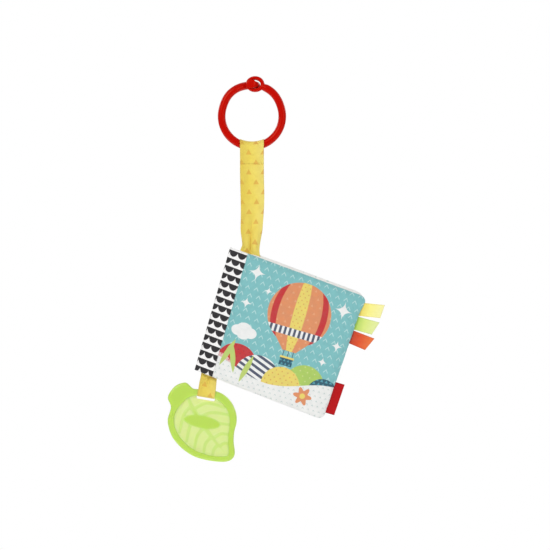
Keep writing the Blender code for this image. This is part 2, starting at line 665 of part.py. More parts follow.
def ribbon(name, number, length, lift, paint, cover_pivot):
    """Satin ribbon folded into a flat loop, its two ends sewn into the cover's edge."""
    drop = FIRST_RIBBON_DROP + number * RIBBON_PITCH
    edge = fore_edge(drop) + Vector((TAB_GAP, FRONT_SEAM_Y, 0))
    hinge = pivot(name + "_flaps", BOOK_FRAME @ edge, FORE_TURN, cover_pivot)

    def place(along, across):
        side = -1 if along < 0.5 else 1
        run = min(along, 1 - along) * 2
        parting = (RIBBON_FOLD_R - RIBBON_BASE_SPACING / 2) * ease(run, 0, RIBBON_PART_SHARE)
        if run < RIBBON_STRAIGHT_SHARE:
            out = run / RIBBON_STRAIGHT_SHARE * (length - RIBBON_FOLD_R)
            y = side * (RIBBON_BASE_SPACING / 2 + parting)
        else:
            angle = pi / 2 * (run - RIBBON_STRAIGHT_SHARE) / (1 - RIBBON_STRAIGHT_SHARE)
            out = length - RIBBON_FOLD_R + RIBBON_FOLD_R * sin(angle)
            y = side * RIBBON_FOLD_R * cos(angle)
        up = across * RIBBON_WIDTH / 2
        base = fore_edge(drop - up)
        return BOOK_FRAME @ Vector((
            base.x + TAB_GAP + out,
            FRONT_SEAM_Y + y,
            base.z + lift * (out / length),
        ))

    sheet(name, RIBBON_GRID, place, RIBBON_PLY, paint, hinge)


def side_label(paint, cover_pivot):
    """Woven label folded over on itself, sewn into the cover's edge near its foot."""
    edge = fore_edge(LABEL_DROP) + Vector((TAB_GAP, FRONT_SEAM_Y, 0))
    hinge = pivot("side_label_flaps", BOOK_FRAME @ edge, FORE_TURN, cover_pivot)
    top = fore_edge(LABEL_DROP - LABEL_HEIGHT / 2)
    foot = fore_edge(LABEL_DROP + LABEL_HEIGHT / 2)
    reach = Vector((LABEL_REACH, 0, 0))
    gap = Vector((TAB_GAP, 0, 0))
    corners = [top + gap, top + gap + reach, foot + gap + reach, foot + gap]
    world = BOOK_FRAME @ Matrix.Translation((0, FRONT_SEAM_Y, 0))
    label = plate("side_label", [(c.x, c.z) for c in corners], LABEL_T, paint, world)
    hang(label, world @ UPRIGHT, hinge)


def teether_strap(paint, book_pivot):
    """Short strap from the back cover's foot, doubled round the leaf's rim."""
    hinge = pivot("teether_strap_swings", TEETHER_BASE, FOOT_TURN, book_pivot)
    base_across = FOOT_TURN.to_3x3() @ Vector((TEETHER_STRAP_BASE_WIDTH / 2, 0, 0))
    rim_across = SLOT_TURN.to_3x3() @ Vector((TEETHER_STRAP_WIDTH / 2, 0, 0))
    rim_down = SLOT_TURN.to_3x3() @ Vector((0, 0, -1))
    base_y = STRAP_PLY_SPACING / 2 * STRAP_PINCH / STRAP_PLY
    neck_share = 1 - TEETHER_NECK_SHARE * RIM_AT_SLOT / TEETHER_STRAP_LENGTH

    def place(along, across):
        side = -1 if along < 0.5 else 1
        run = min(along, 1 - along)
        base = TEETHER_BASE + across * base_across
        rim = RIM_CENTRE + across * rim_across
        if run < TEETHER_LEG_SHARE:
            share = run / TEETHER_LEG_SHARE
            y = base_y + (RIM_LOOP_R - base_y) * ease(share, 0, neck_share)
            return base.lerp(rim, share) + Vector((0, side * y, 0))
        angle = pi / 2 * (run - TEETHER_LEG_SHARE) / (0.5 - TEETHER_LEG_SHARE)
        return rim + rim_down * RIM_LOOP_R * sin(angle) + Vector((0, side * RIM_LOOP_R * cos(angle), 0))

    def pinch(along):
        near_end = min(along, 1 - along)
        thin = STRAP_PINCH / STRAP_PLY
        return thin + (1 - thin) * min(near_end / TEETHER_PINCH_SHARE, 1)

    sheet("teether_strap", TEETHER_STRAP_GRID, place, STRAP_PLY, paint, hinge, pinch)
    return pivot("teether_swings", RIM_CENTRE, SLOT_TURN, hinge)


def leaf_point(share):
    """Place on the leaf from shares of its width and height."""
    return ((share[0] - SLOT_SHARE[0]) * LEAF_WIDTH, (share[1] - SLOT_SHARE[1]) * LEAF_HEIGHT)


def leaf_teether(paint, teether_pivot):
    """The leaf: a thick rim round a thin membrane with ribs, one soft moulding."""
    frame = Matrix.Translation(RIM_CENTRE)
    upright = frame @ UPRIGHT
    outer = [leaf_point(share) for share in LEAF_OUTLINE_SHARES]
    pocket = [leaf_point(share) for share in POCKET_OUTLINE_SHARES]
    leaf = plate("leaf_teether", outer, LEAF_T, paint, frame, LEAF_EDGE, True)
    depth = LEAF_T / 2 - MEMBRANE_T / 2 + OVERRUN
    for toward in (-1, 1):
        world = frame @ Matrix.Translation((0, toward * (MEMBRANE_T / 2 + depth / 2), 0))
        cut(leaf, plate(f"pocket_{toward + 1}", pocket, depth, None, world, 0.0, True, CUTTERS))

    def rib(name, shares, diameter, tip_share):
        points = [Vector((*leaf_point(share), 0)) for share in shares]
        fine = []
        for index in range(len(points) - 1):
            before = points[max(index - 1, 0)]
            after = points[min(index + 2, len(points) - 1)]
            for step in range(RIB_STEPS):
                fine.append(spline_point(before, points[index], points[index + 1], after, step / RIB_STEPS))
        fine.append(points[-1])
        world = [upright @ point for point in fine]
        last = len(world) - 1
        thin = [1 - (1 - tip_share) * (index / last) for index in range(last + 1)]
        cut(leaf, tube(name, world, diameter / 2, None, thin, RIB_RESOLUTION, CUTTERS), "UNION")

    rib("midrib", MIDRIB_SHARES, MIDRIB_D, MIDRIB_TIP_SHARE)
    for index, shares in enumerate(LEFT_VEIN_SHARES + RIGHT_VEIN_SHARES):
        rib(f"vein_{index}", shares, VEIN_D, VEIN_TIP_SHARE)

    bm = bmesh.new()
    bmesh.ops.create_cone(
        bm, cap_ends=True, segments=EYE_SIDES, radius1=OVAL_LENGTH / 2, radius2=OVAL_LENGTH / 2, depth=OVAL_T
    )
    bmesh.ops.scale(bm, vec=(1, OVAL_WIDTH / OVAL_LENGTH, 1), verts=bm.verts)
    oval = mesh_object("oval_boss", bm, None, CUTTERS)
    x, z = leaf_point(OVAL_SHARE)
    oval.matrix_world = upright @ Matrix.Translation((x, z, 0)) @ Matrix.Rotation(-OVAL_TILT, 4, "Z")
    cut(leaf, oval, "UNION")

    bm = bmesh.new()
    bmesh.ops.create_cube(bm, size=1)
    length = TEETHER_STRAP_WIDTH + SLOT_SPARE
    bmesh.ops.scale(bm, vec=(length, LEAF_T + 2 * OVERRUN, SLOT_HEIGHT), verts=bm.verts)
    slot = mesh_object("strap_slot", bm, None, CUTTERS)
    down = RIM_AT_SLOT / 2 + SLOT_HEIGHT / 2
    slot_frame = frame @ SLOT_TURN
    slot.matrix_world = slot_frame @ Matrix.Translation((0, 0, -down))
    cut(leaf, slot)
    for side in (-1, 1):
        bm = bmesh.new()
        bmesh.ops.create_cube(bm, size=1)
        bmesh.ops.scale(bm, vec=(length, LEAF_EDGE, SLOT_HEIGHT), verts=bm.verts)
        chamfer = mesh_object(f"rim_chamfer_{side + 1}", bm, None, CUTTERS)
        slant = Matrix.Rotation(-side * pi / 4, 4, "X")
        chamfer.matrix_world = slot_frame @ slant @ Matrix.Translation((0, side * (RIM_R + LEAF_EDGE / 2), 0))
        cut(leaf, chamfer)
    smooth(leaf)
    hang(leaf, upright, teether_pivot)


def spline_point(before, start, end, after, share):
    """Point on a smooth curve through start and end, guided by the points on either side."""
    square, cube = share**2, share**3
    return 0.5 * (
        2 * start + (end - before) * share
        + (2 * before - 5 * start + 4 * end - after) * square
        + (3 * start - before - 3 * end + after) * cube
    )


def build():
    """The whole object, from the ring down."""
    red = material("ring_red", (0.58, 0.0, 0.002), 0.22)
    yellow = material("strap_cotton", (0.86, 0.70, 0.13), 0.85)
    white = material("spine_cotton", (0.80, 0.80, 0.80), 0.85)
    teal = material("cover_print", (0.22, 0.58, 0.58), 0.8)
    lining = material("lining_cotton", (0.85, 0.85, 0.83), 0.85)
    wadding = material("wadding", (0.92, 0.92, 0.90), 0.95)
    film = material("crinkle_film", (0.80, 0.84, 0.86), 0.25)
    page = material("page_print", (0.88, 0.86, 0.80), 0.85)
    yellow_satin = material("yellow_satin", (0.95, 0.90, 0.25), 0.45)
    lime_satin = material("lime_satin", (0.70, 0.84, 0.26), 0.45)
    orange_satin = material("orange_satin", (0.76, 0.12, 0.02), 0.45)
    label_red = material("label_red", (0.55, 0.0, 0.005), 0.6)
    leaf_green = material("leaf_green", (0.51, 0.80, 0.10), 0.4)

    ring_pivot = ring_arms(red)
    strap_pivot = hang_strap(yellow, ring_pivot)
    book_pivot = pivot("book_swings", STRAP_FOOT, TOP_TURN, strap_pivot)
    turn_axis = BOOK_FRAME @ Vector((TURN_INSET, TURN_Y, -SPINE_HEIGHT / 2))
    page_pivot = pivot("page_turns", turn_axis, BOOK_TURN, book_pivot)
    cover_pivot = pivot("front_cover_opens", turn_axis, BOOK_TURN, page_pivot)

    paint = {"panel": teal, "band": white, "wadding": wadding, "film": film, "lining": lining, "page": page}
    padded_cover("back", BACK_SEAM_Y, COVER_T / 2, paint, book_pivot)
    page_leaf(paint, page_pivot)
    padded_cover("front", FRONT_SEAM_Y, -COVER_T / 2, paint, cover_pivot)
    spine(paint, book_pivot)

    ribbons = (
        ("yellow_ribbon", YELLOW_LENGTH, YELLOW_LIFT, yellow_satin),
        ("lime_ribbon", LIME_LENGTH, LIME_LIFT, lime_satin),
        ("orange_ribbon", ORANGE_LENGTH, ORANGE_LIFT, orange_satin),
    )
    for number, (name, length, lift, satin) in enumerate(ribbons):
        ribbon(name, number, length, lift, satin, cover_pivot)
    side_label(label_red, cover_pivot)

    teether_pivot = teether_strap(yellow, book_pivot)
    leaf_teether(leaf_green, teether_pivot)


build()
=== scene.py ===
import json
from math import cos, exp, hypot, pi, radians, sin, sqrt

import bmesh
import bpy
from mathutils import Matrix, Vector, noise


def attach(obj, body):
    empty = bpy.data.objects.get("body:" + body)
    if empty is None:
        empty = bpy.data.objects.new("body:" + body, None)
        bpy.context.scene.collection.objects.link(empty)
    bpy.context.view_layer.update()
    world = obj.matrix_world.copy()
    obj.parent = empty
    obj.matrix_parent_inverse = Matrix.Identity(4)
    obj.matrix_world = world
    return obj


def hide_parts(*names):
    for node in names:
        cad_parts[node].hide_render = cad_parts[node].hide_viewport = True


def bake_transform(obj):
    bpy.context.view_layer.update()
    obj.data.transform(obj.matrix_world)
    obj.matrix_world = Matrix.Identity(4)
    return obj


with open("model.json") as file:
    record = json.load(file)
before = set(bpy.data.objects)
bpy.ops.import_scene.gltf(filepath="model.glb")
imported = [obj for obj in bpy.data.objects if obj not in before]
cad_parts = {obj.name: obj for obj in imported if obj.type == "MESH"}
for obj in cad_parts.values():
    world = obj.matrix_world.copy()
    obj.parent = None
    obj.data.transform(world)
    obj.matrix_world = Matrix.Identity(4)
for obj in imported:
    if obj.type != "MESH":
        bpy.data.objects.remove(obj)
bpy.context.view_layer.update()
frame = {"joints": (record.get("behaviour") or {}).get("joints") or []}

# Snap ring. The real one is a single springy moulding of glossy red plastic, open at the top, where
# one end is a flat oval eye and the other a round peg that is pushed through the eye from behind.
# Its two arms meet inside the strap, which hides the line between them.
MM = 0.001
ROD_D = 7.4 * MM
EYE_WIDTH = 17.8 * MM
EYE_HEIGHT = 15.2 * MM
EYE_HOLE_WIDTH = 13.6 * MM
EYE_HOLE_HEIGHT = 7.8 * MM
EYE_DEPTH = 5.2 * MM
EYE_SHIFT = 3.0 * MM
EYE_RISE = 1.6 * MM
EYE_SQUARENESS = 2.6
EYE_THICK_SIDE = 1.6 * MM
ARM_SPREAD = 1.0 * MM
ARM_JOIN_DROP = 2.2 * MM
HEAD_WIDTH = 9.2 * MM
HEAD_HEIGHT = 8.4 * MM
HEAD_T = 1.3 * MM
HEAD_SHIFT = 3.6 * MM
ELBOW_SHIFT = 1.2 * MM
BEND_REACH = 2.0 * MM
PEG_D = 6.2 * MM
PEG_PROUD = 0.8 * MM
CLASP_CLEARANCE = 0.5 * MM
RING_MEETING = 0.15 * MM
RING_VOXEL = 0.42 * MM
RING_STEPS = 120
EYE_ROUND = 96
EYE_SECTION = 28
HEAD_ROUND = 64
HEAD_SQUARENESS = 2.3
HEAD_SEAT = 0.25 * MM
HEAD_PROFILE = ((0.0, 0.55), (0.0, 0.9), (0.25, 1.0), (0.7, 1.0), (1.0, 0.86), (1.08, 0.6), (1.1, 0.3))
SPREAD_FROM, EYE_ARM_SPREAD_TO, PEG_ARM_SPREAD_TO = 104, 148, 140
JOIN_STEPS, JOIN_INSIDE, JOIN_THINNING = 6, 2.6 * MM, 0.22
LEAVE_STEPS, BEND_STEPS = 24, 14
PRINT_SPAN = 100.0
RING_RED = "C60200"
RING_DARK = "8C0004"

joints = {joint["name"]: joint for joint in frame["joints"]}
ring_centre = Vector(joints["loop_slides"]["pos_m"])
ring_foot = Vector(joints["ring_opens"]["pos_m"])
ring_r = (ring_centre - ring_foot).length
rod_r = ROD_D / 2
eye_centre = ring_centre + Vector((EYE_SHIFT, 0, ring_r + EYE_RISE))


def ink(code):
    """A colour as a maker writes it, six hex digits, as the linear values that a shader takes."""
    parts = [int(code[index:index + 2], 16) / 255 for index in (0, 2, 4)]
    linear = [part / 12.92 if part < 0.04045 else ((part + 0.055) / 1.055) ** 2.4 for part in parts]
    return (*linear, 1.0)


class Amount:
    """A number that varies over a surface. Arithmetic with it adds nodes to its finish."""

    def __init__(self, finish, socket):
        self.finish = finish
        self.socket = socket

    def __add__(self, other):
        return self.finish.work("ADD", self, other)

    def __radd__(self, other):
        return self.finish.work("ADD", other, self)

    def __sub__(self, other):
        return self.finish.work("SUBTRACT", self, other)

    def __rsub__(self, other):
        return self.finish.work("SUBTRACT", other, self)

    def __mul__(self, other):
        return self.finish.work("MULTIPLY", self, other)

    def __rmul__(self, other):
        return self.finish.work("MULTIPLY", other, self)

    def __truediv__(self, other):
        return self.finish.work("DIVIDE", self, other)

    def __abs__(self):
        return self.finish.work("ABSOLUTE", self)


def add_node(tree, kind, inputs=None, **settings):
    """Adds a node. Each input, by its name or number, is a value or another node's output."""
    node = tree.nodes.new(kind)
    for name, value in settings.items():
        setattr(node, name, value)
    for name, value in (inputs or {}).items():
        if isinstance(value, bpy.types.NodeSocket):
            tree.links.new(value, node.inputs[name])
        else:
            node.inputs[name].default_value = value
    return node


class Finish:
    """The finish of one kind of piece: its ground colour, what is printed over it, and its relief."""

    def __init__(self, name, ground, roughness, sheen=0.0, by="UV"):
        self.material = bpy.data.materials.new(name)
        self.material.use_nodes = True
        self.tree = self.material.node_tree
        self.shader = self.tree.nodes["Principled BSDF"]
        self.set("Roughness", roughness)
        self.set("Sheen Weight", sheen)
        self.set("Sheen Roughness", 0.5)
        self.normal = None
        self.colour = add_node(self.tree, "ShaderNodeRGB").outputs[0]
        self.colour.default_value = ink(ground)
        where = add_node(self.tree, "ShaderNodeTexCoord").outputs[by]
        in_mm = {0: where, "Scale": PRINT_SPAN if by == "UV" else 1 / MM}
        self.place = add_node(self.tree, "ShaderNodeVectorMath", in_mm, operation="SCALE").outputs[0]

    def set(self, socket, value):
        self.shader.inputs[socket].default_value = value

    def spot(self):
        """Where a point of the surface lies, in mm: x, y and z, or x and y on the cloth."""
        split = add_node(self.tree, "ShaderNodeSeparateXYZ", {0: self.place})
        return [Amount(self, output) for output in split.outputs]

    def work(self, operation, *values, clamp=False):
        given = {index: getattr(value, "socket", value) for index, value in enumerate(values)}
        node = add_node(self.tree, "ShaderNodeMath", given, operation=operation, use_clamp=clamp)
        return Amount(self, node.outputs[0])

    def within(self, value, edge, soft=0.25):
        """1 where the value is below the edge and 0 above it, with a soft border."""
        return self.work("ADD", (edge - value) / soft, 0.5, clamp=True)

    def beyond(self, value, edge, soft=0.25):
        return self.work("ADD", (value - edge) / soft, 0.5, clamp=True)

    def apart(self, dx, dy):
        """The length of a step of dx and dy."""
        return self.work("SQRT", dx * dx + dy * dy)

    def mottle(self, size, detail=2.0):
        """Uneven patches of about that size, in mm, from 0 to 1."""
        patches = {"Scale": 1 / size, "Detail": detail, "Vector": self.place}
        return Amount(self, add_node(self.tree, "ShaderNodeTexNoise", patches).outputs[0])

    def lay(self, colour, mask):
        """Prints a colour over what is there, as strongly as the mask says."""
        layers = {0: mask.socket, 6: self.colour, 7: ink(colour)}
        mix = add_node(self.tree, "ShaderNodeMix", layers, data_type="RGBA", clamp_factor=True)
        self.colour = mix.outputs[2]

    def relief(self, height, depth):
        """Raises the surface by up to a depth, in mm."""
        node = add_node(self.tree, "ShaderNodeBump", {"Distance": depth * MM, "Height": height.socket})
        if self.normal:
            self.tree.links.new(self.normal, node.inputs["Normal"])
        self.normal = node.outputs[0]

    def done(self):
        self.tree.links.new(self.colour, self.shader.inputs["Base Color"])
        if self.normal:
            self.tree.links.new(self.normal, self.shader.inputs["Normal"])
        return self.material


def placed(name, data):
    """A new object, in the scene."""
    thing = bpy.data.objects.new(name, data)
    bpy.context.collection.objects.link(thing)
    return thing


def piece(name, points, faces, finish, spots=None):
    """A mesh from points and faces. spots are each point's place on the cloth's print, in mm."""
    mesh = bpy.data.meshes.new(name)
    mesh.from_pydata(points, [], faces)
    if spots:
        layer = mesh.uv_layers.new(name="print")
        for loop in mesh.loops:
            x, y = spots[loop.vertex_index]
            layer.data[loop.index].uv = (x / PRINT_SPAN, y / PRINT_SPAN)
    mesh.materials.append(finish)
    return placed(name, mesh)


def settle(thing):
    """Turns a piece and its modifiers into one plain mesh, smooth and with its faces outward."""
    mesh = bpy.data.meshes.new_from_object(thing.evaluated_get(bpy.context.evaluated_depsgraph_get()))
    thing.modifiers.clear()
    thing.data = mesh
    bm = bmesh.new()
    bm.from_mesh(mesh)
    bmesh.ops.recalc_face_normals(bm, faces=bm.faces)
    for face in bm.faces:
        face.smooth = True
    bm.to_mesh(mesh)
    bm.free()
    return thing


def net(rows, columns, rings=False, first=0):
    """The faces of a grid of points that are counted row by row. Its rows may be closed rings."""
    width = columns if rings else columns + 1
    faces = []
    for row in range(rows):
        for column in range(columns):
            here, after = (first + row * width + (column + step) % width for step in (0, 1))
            faces.append((here, after, after + width, here + width))
    return faces


def tube(count, sides, first=0):
    """The faces of a row of rings of points, with a flat face at each end."""
    last = first + (count - 1) * sides
    ends = [tuple(range(first, first + sides))[::-1], tuple(range(last, last + sides))]
    return net(count - 1, sides, True, first) + ends


def rod(name, points, radii, finish, sides=40):
    """A round rod along points, with a flat end at each end."""
    rings = []
    side = Vector((0, 1, 0))
    along = points[1] - points[0]
    for index, point in enumerate(points):
        step = points[min(index + 1, len(points) - 1)] - points[max(index - 1, 0)]
        if step.length > RING_MEETING:
            along = step.normalized()
        side = (side - along * side.dot(along)).normalized()
        other = along.cross(side)
        for turn in range(sides):
            angle = 2 * pi * turn / sides
            rings.append(point + radii[index] * (cos(angle) * side + sin(angle) * other))
    return piece(name, rings, tube(len(points), sides), finish)


def fuse(things, voxel, rounds):
    """Melts overlapping forms into one skin, as they are moulded in one piece."""
    bm = bmesh.new()
    for thing in things:
        bm.from_mesh(thing.data)
    bm.to_mesh(things[0].data)
    bm.free()
    for thing in things[1:]:
        bpy.data.objects.remove(thing)
    skin = things[0].modifiers.new("skin", "REMESH")
    skin.mode = "VOXEL"
    skin.voxel_size = voxel
    soften = things[0].modifiers.new("soften", "SMOOTH")
    soften.factor = 0.5
    soften.iterations = rounds
    return settle(things[0])


def on_ring(degrees):
    """A point on the rod's middle line, counted from the ring's foot towards +X."""
    return ring_centre + ring_r * Vector((sin(radians(degrees)), 0, -cos(radians(degrees))))


def ease(share, start=0.0, end=1.0):
    """Smooth step from 0 at one share to 1 at another."""
    share = min(max((share - start) / (end - start), 0.0), 1.0)
    return share * share * (3 - 2 * share)


def rounded(angle, power):
    """A point on a rounded square of half-width 1."""
    x, y = cos(angle), sin(angle)
    return abs(x) ** (2 / power) * (1 if x > 0 else -1), abs(y) ** (2 / power) * (1 if y > 0 else -1)


def arm_line(way, last_angle, spread_to):
    """One arm's middle line, from the ring's foot round to an angle, a little wider at its end."""
    points = []
    for step in range(RING_STEPS + 1):
        degrees = last_angle * step / RING_STEPS
        point = on_ring(way * degrees)
        outward = (point - ring_centre).normalized()
        points.append(point + ARM_SPREAD * ease(degrees, SPREAD_FROM, spread_to) * outward)
    points[0] += Vector((way * RING_MEETING, 0, 0))
    return points


def stand_in(thing, node, body=None):
    """Shows a finished piece in place of a plain solid, and lets it ride on one body."""
    if body:
        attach(thing, body)
    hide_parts(node)


red_plastic = Finish("ring_red_plastic", RING_RED, 0.34, 0.4, by="Object")
red_plastic.set("Sheen Tint", ink("F2552A"))
red_plastic.set("Specular IOR Level", 0.35)
red_plastic.set("Specular Tint", ink("FF8C62"))
red_plastic.lay(RING_DARK, red_plastic.mottle(9.0) * 0.25)
red_plastic.relief(red_plastic.mottle(4.5, 1.0), 0.03)
ring_finish = red_plastic.done()

eye_points = []
hole_half = (EYE_HOLE_WIDTH - EYE_THICK_SIDE) / 2
for turn in range(EYE_ROUND):
    angle = 2 * pi * turn / EYE_ROUND
    outer = Vector((EYE_WIDTH / 2 * cos(angle), 0, EYE_HEIGHT / 2 * sin(angle)))
    inner = Vector((hole_half * cos(angle) - EYE_THICK_SIDE / 2, 0, EYE_HOLE_HEIGHT / 2 * sin(angle)))
    for step in range(EYE_SECTION):
        across, deep = rounded(2 * pi * step / EYE_SECTION, EYE_SQUARENESS)
        middle = (outer + inner) / 2 + (outer - inner) / 2 * across
        eye_points.append(eye_centre + middle + Vector((0, deep * EYE_DEPTH / 2, 0)))
eye_faces = [[corner % len(eye_points) for corner in face] for face in net(EYE_ROUND, EYE_SECTION, True)]
eye = piece("eye", eye_points, eye_faces, ring_finish)

last_angle = 180 - 180 / pi * (EYE_SHIFT + EYE_HOLE_WIDTH / 2 + rod_r) / ring_r
arm_points = arm_line(1, last_angle, EYE_ARM_SPREAD_TO)
arm_radii = [rod_r] * len(arm_points)
eye_side = eye_centre + Vector((EYE_WIDTH / 2 - JOIN_INSIDE, 0, -ARM_JOIN_DROP))
arm_end = arm_points[-1]
for step in range(1, JOIN_STEPS + 1):
    arm_points.append(arm_end.lerp(eye_side, step / JOIN_STEPS))
    arm_radii.append(rod_r * (1 - JOIN_THINNING * step / JOIN_STEPS))
eye_arm = rod("eye_arm_rod", arm_points, arm_radii, ring_finish)
ring_eye_arm = fuse([eye_arm, eye], RING_VOXEL, 7)
ring_eye_arm.name = "ring_eye_arm_moulded"
stand_in(ring_eye_arm, "ring_eye_arm", "ring")

peg_r = PEG_D / 2
behind = EYE_DEPTH / 2 + CLASP_CLEARANCE + peg_r
leave_angle = 180 - 180 / pi * (behind * 2 + EYE_WIDTH / 2 - EYE_SHIFT) / ring_r
peg_points = arm_line(-1, leave_angle, PEG_ARM_SPREAD_TO)
peg_radii = [rod_r] * len(peg_points)
leave = peg_points[-1]
elbow_x = eye_centre.x + ELBOW_SHIFT
for step in range(1, LEAVE_STEPS + 1):
    share = step / LEAVE_STEPS
    x = leave.x + (elbow_x - leave.x) * share
    z = ring_centre.z + sqrt((ring_r + ARM_SPREAD) ** 2 - (x - ring_centre.x) ** 2)
    peg_points.append(Vector((x, behind * ease(share, 0.0, 0.8), z)))
    peg_radii.append(rod_r + (peg_r - rod_r) * ease(share, 0.6, 1.0))
elbow = peg_points[-1]
peg_end = eye_centre + Vector((-HEAD_SHIFT + HEAD_WIDTH / 6, -EYE_DEPTH / 2 - PEG_PROUD, 0))
heel = Vector((elbow.x + BEND_REACH, elbow.y - BEND_REACH, elbow.z))
for step in range(1, BEND_STEPS + 1):
    share = step / BEND_STEPS
    peg_points.append(elbow * (1 - share) ** 2 + heel * 2 * share * (1 - share) + peg_end * share ** 2)
    peg_radii.append(peg_r)
peg_rod = rod("ring_peg_arm_moulded", peg_points, peg_radii, ring_finish)
head_points = []
for deep, wide in HEAD_PROFILE:
    for turn in range(HEAD_ROUND):
        across, up = rounded(2 * pi * turn / HEAD_ROUND, HEAD_SQUARENESS)
        head_points.append(eye_centre + Vector((
            across * wide * HEAD_WIDTH / 2 - HEAD_SHIFT,
            -EYE_DEPTH / 2 - HEAD_SEAT - deep * HEAD_T,
            up * wide * HEAD_HEIGHT / 2,
        )))
peg_head = settle(piece("peg_head", head_points, tube(len(HEAD_PROFILE), HEAD_ROUND), ring_finish))
ring_peg_arm = fuse([settle(peg_rod), peg_head], RING_VOXEL, 6)
stand_in(ring_peg_arm, "ring_peg_arm", "peg_arm")

# Hang strap. A strip of printed cotton, folded lengthwise into a tape, goes round the ring and down to
# the book; a row of stitches closes the loop. Lower down it narrows and creases, and its doubled foot
# is caught in the seam between the page and the back cover.
STRAP_WIDTH = 22.6 * MM
GATHER_WIDTH = 16.2 * MM
FOOT_WIDTH = 18.6 * MM
TAPE_T = 0.5 * MM
TAPE_APART = 1.2 * MM
FOOT_APART = 0.6 * MM
LOOP_CLEARANCE = 0.9 * MM
FOOT_TUCK = 2.0 * MM
CREASE_DEPTH = 2.6 * MM
STRAP_RUMPLE = 1.1 * MM
RUMPLE_ACROSS, RUMPLE_DOWN = 6 * MM, 17 * MM
LOOP_BELLY = 0.5 * MM
LOOP_LEG_SHARE = 0.37
STRAP_SWAY = 0.5 * MM
STRAP_RIPPLE = 0.5 * MM
STRAP_EDGE_CURL = 0.7 * MM
TRIANGLE_PITCH = 13.8
TRIANGLE_ROW = 9.4
TRIANGLE_BASE = 5.4
TRIANGLE_HEIGHT = 4.9
STRAP_YELLOW = "F4DD4D"
STRAP_PALE = "F9EC80"
STRAP_ORANGE = "DE9636"
STRAP_SHADE = "DFB236"
STRAP_LIT_SIDE = "F6EA8C"
STRAP_DIM_SIDE = "D2B434"
STRAP_CREASE_SHADE = "D4942E"
# Darker patches over the strap: partly uneven tone, partly painted shade of folds.
STRAP_TONE_AND_FOLD_SHADE = "BE9A2C"

stitch = Vector(joints["strap_swings"]["pos_m"])
strap_foot = Vector(joints["book_swings"]["pos_m"])
turn_joint = joints["page_turns"]
book_up = -Vector(turn_joint["axis"])
book_out = Vector((book_up.z, 0, -book_up.x))
TOP_FALL = 9.6
TOP_SLOPE = TOP_FALL / 134


def weave(finish, thread=0.45, depth=0.03, crease=0.45, crease_size=9.0, fade=0.16, shade="8A8A8A"):
    """Plain weave: threads over and under with a painted highlight where they rise, darker in soft patches
    that are partly an uneven tone and partly painted shade of wrinkles, and soft creases.
    """
    x, y = finish.spot()[:2]
    over = finish.work("SINE", x * (pi / thread))
    under = finish.work("SINE", y * (pi / thread))
    # Darker soft patches: partly uneven tone, partly painted shade of wrinkles.
    finish.lay(shade, finish.mottle(crease_size * 0.8) * fade)
    # Painted highlight: lighter where the threads rise, as the relief below raises them.
    finish.lay("FFFFFF", over * under * 0.04)
    finish.relief(finish.mottle(crease_size, 3.0), crease)
    finish.relief(over * under, depth)


def cells(finish, x, y, pitch, row):
    """Local place in a repeat whose rows are staggered by half: x and y from the cell's middle, in mm."""
    number = finish.work("FLOOR", y / row)
    shift = finish.work("FRACT", number * 0.5)
    local_x = (finish.work("FRACT", x / pitch + shift) - 0.5) * pitch
    local_y = (finish.work("FRACT", y / row) - 0.5) * row
    return local_x, local_y


def triangles(finish, x, y, pitch, row, base, height):
    """Staggered rows of upright triangles."""
    local_x, local_y = cells(finish, x, y, pitch, row)
    climb = local_y + height / 2
    slope = abs(local_x) + climb * (base / 2 / height)
    return finish.within(slope, base / 2, 0.5) * finish.beyond(climb, 0.0, 0.5)


def strap_print(name, warmth):
    """Yellow cotton with rows of small orange triangles, a little paler in patches, with painted light on its
    right side, painted shade on its left side and painted shade down its crease.
    """
    finish = Finish(name, STRAP_YELLOW, 0.86, 0.25)
    x, y = finish.spot()[:2]
    finish.lay(STRAP_PALE, finish.mottle(13.0) * 0.7)
    finish.lay(STRAP_LIT_SIDE, finish.beyond(x, 5.0, 8.0) * 0.45)
    finish.lay(STRAP_ORANGE, triangles(
        finish, x + 3.1, y + 3.5, TRIANGLE_PITCH, TRIANGLE_ROW, TRIANGLE_BASE, TRIANGLE_HEIGHT) * 0.62)
    finish.lay(STRAP_SHADE, finish.mottle(6.0) * warmth)
    finish.lay(STRAP_DIM_SIDE, finish.beyond(x * -1.0, 5.0, 9.0) * 0.4)
    # Painted shade down the crease in the strap's lower part.
    finish.lay(STRAP_CREASE_SHADE, finish.within(abs(x + 0.3), 0.4, 1.2) * finish.within(y, -56.0, 10.0) * 0.42)
    weave(finish, shade=STRAP_TONE_AND_FOLD_SHADE, fade=0.26, crease=0.8, crease_size=6.0)
    return finish.done()


strap_finish = strap_print("strap_cotton_print", 0.18)


def cloth(name, rows, columns, place, ply, finish):
    """A strip of cloth. place(along, across) gives a point and its place on the print in mm."""
    points, spots = [], []
    for row in range(rows + 1):
        for column in range(columns + 1):
            point, spot = place(row / rows, 2 * column / columns - 1)
            points.append(point)
            spots.append(spot)
    strip = piece(name, points, net(rows, columns), finish, spots)
    wall = strip.modifiers.new("ply", "SOLIDIFY")
    wall.thickness = ply
    wall.offset = 0
    wall.use_even_offset = True
    return settle(strip)


def rumple(point, size):
    """Soft creases that run down a hanging tape, as a shift in depth."""
    across, down = point.x / RUMPLE_ACROSS, point.z / RUMPLE_DOWN
    return Vector((0, noise.noise(Vector((across, 0, down))) * size, 0))


loop_r = rod_r + LOOP_CLEARANCE


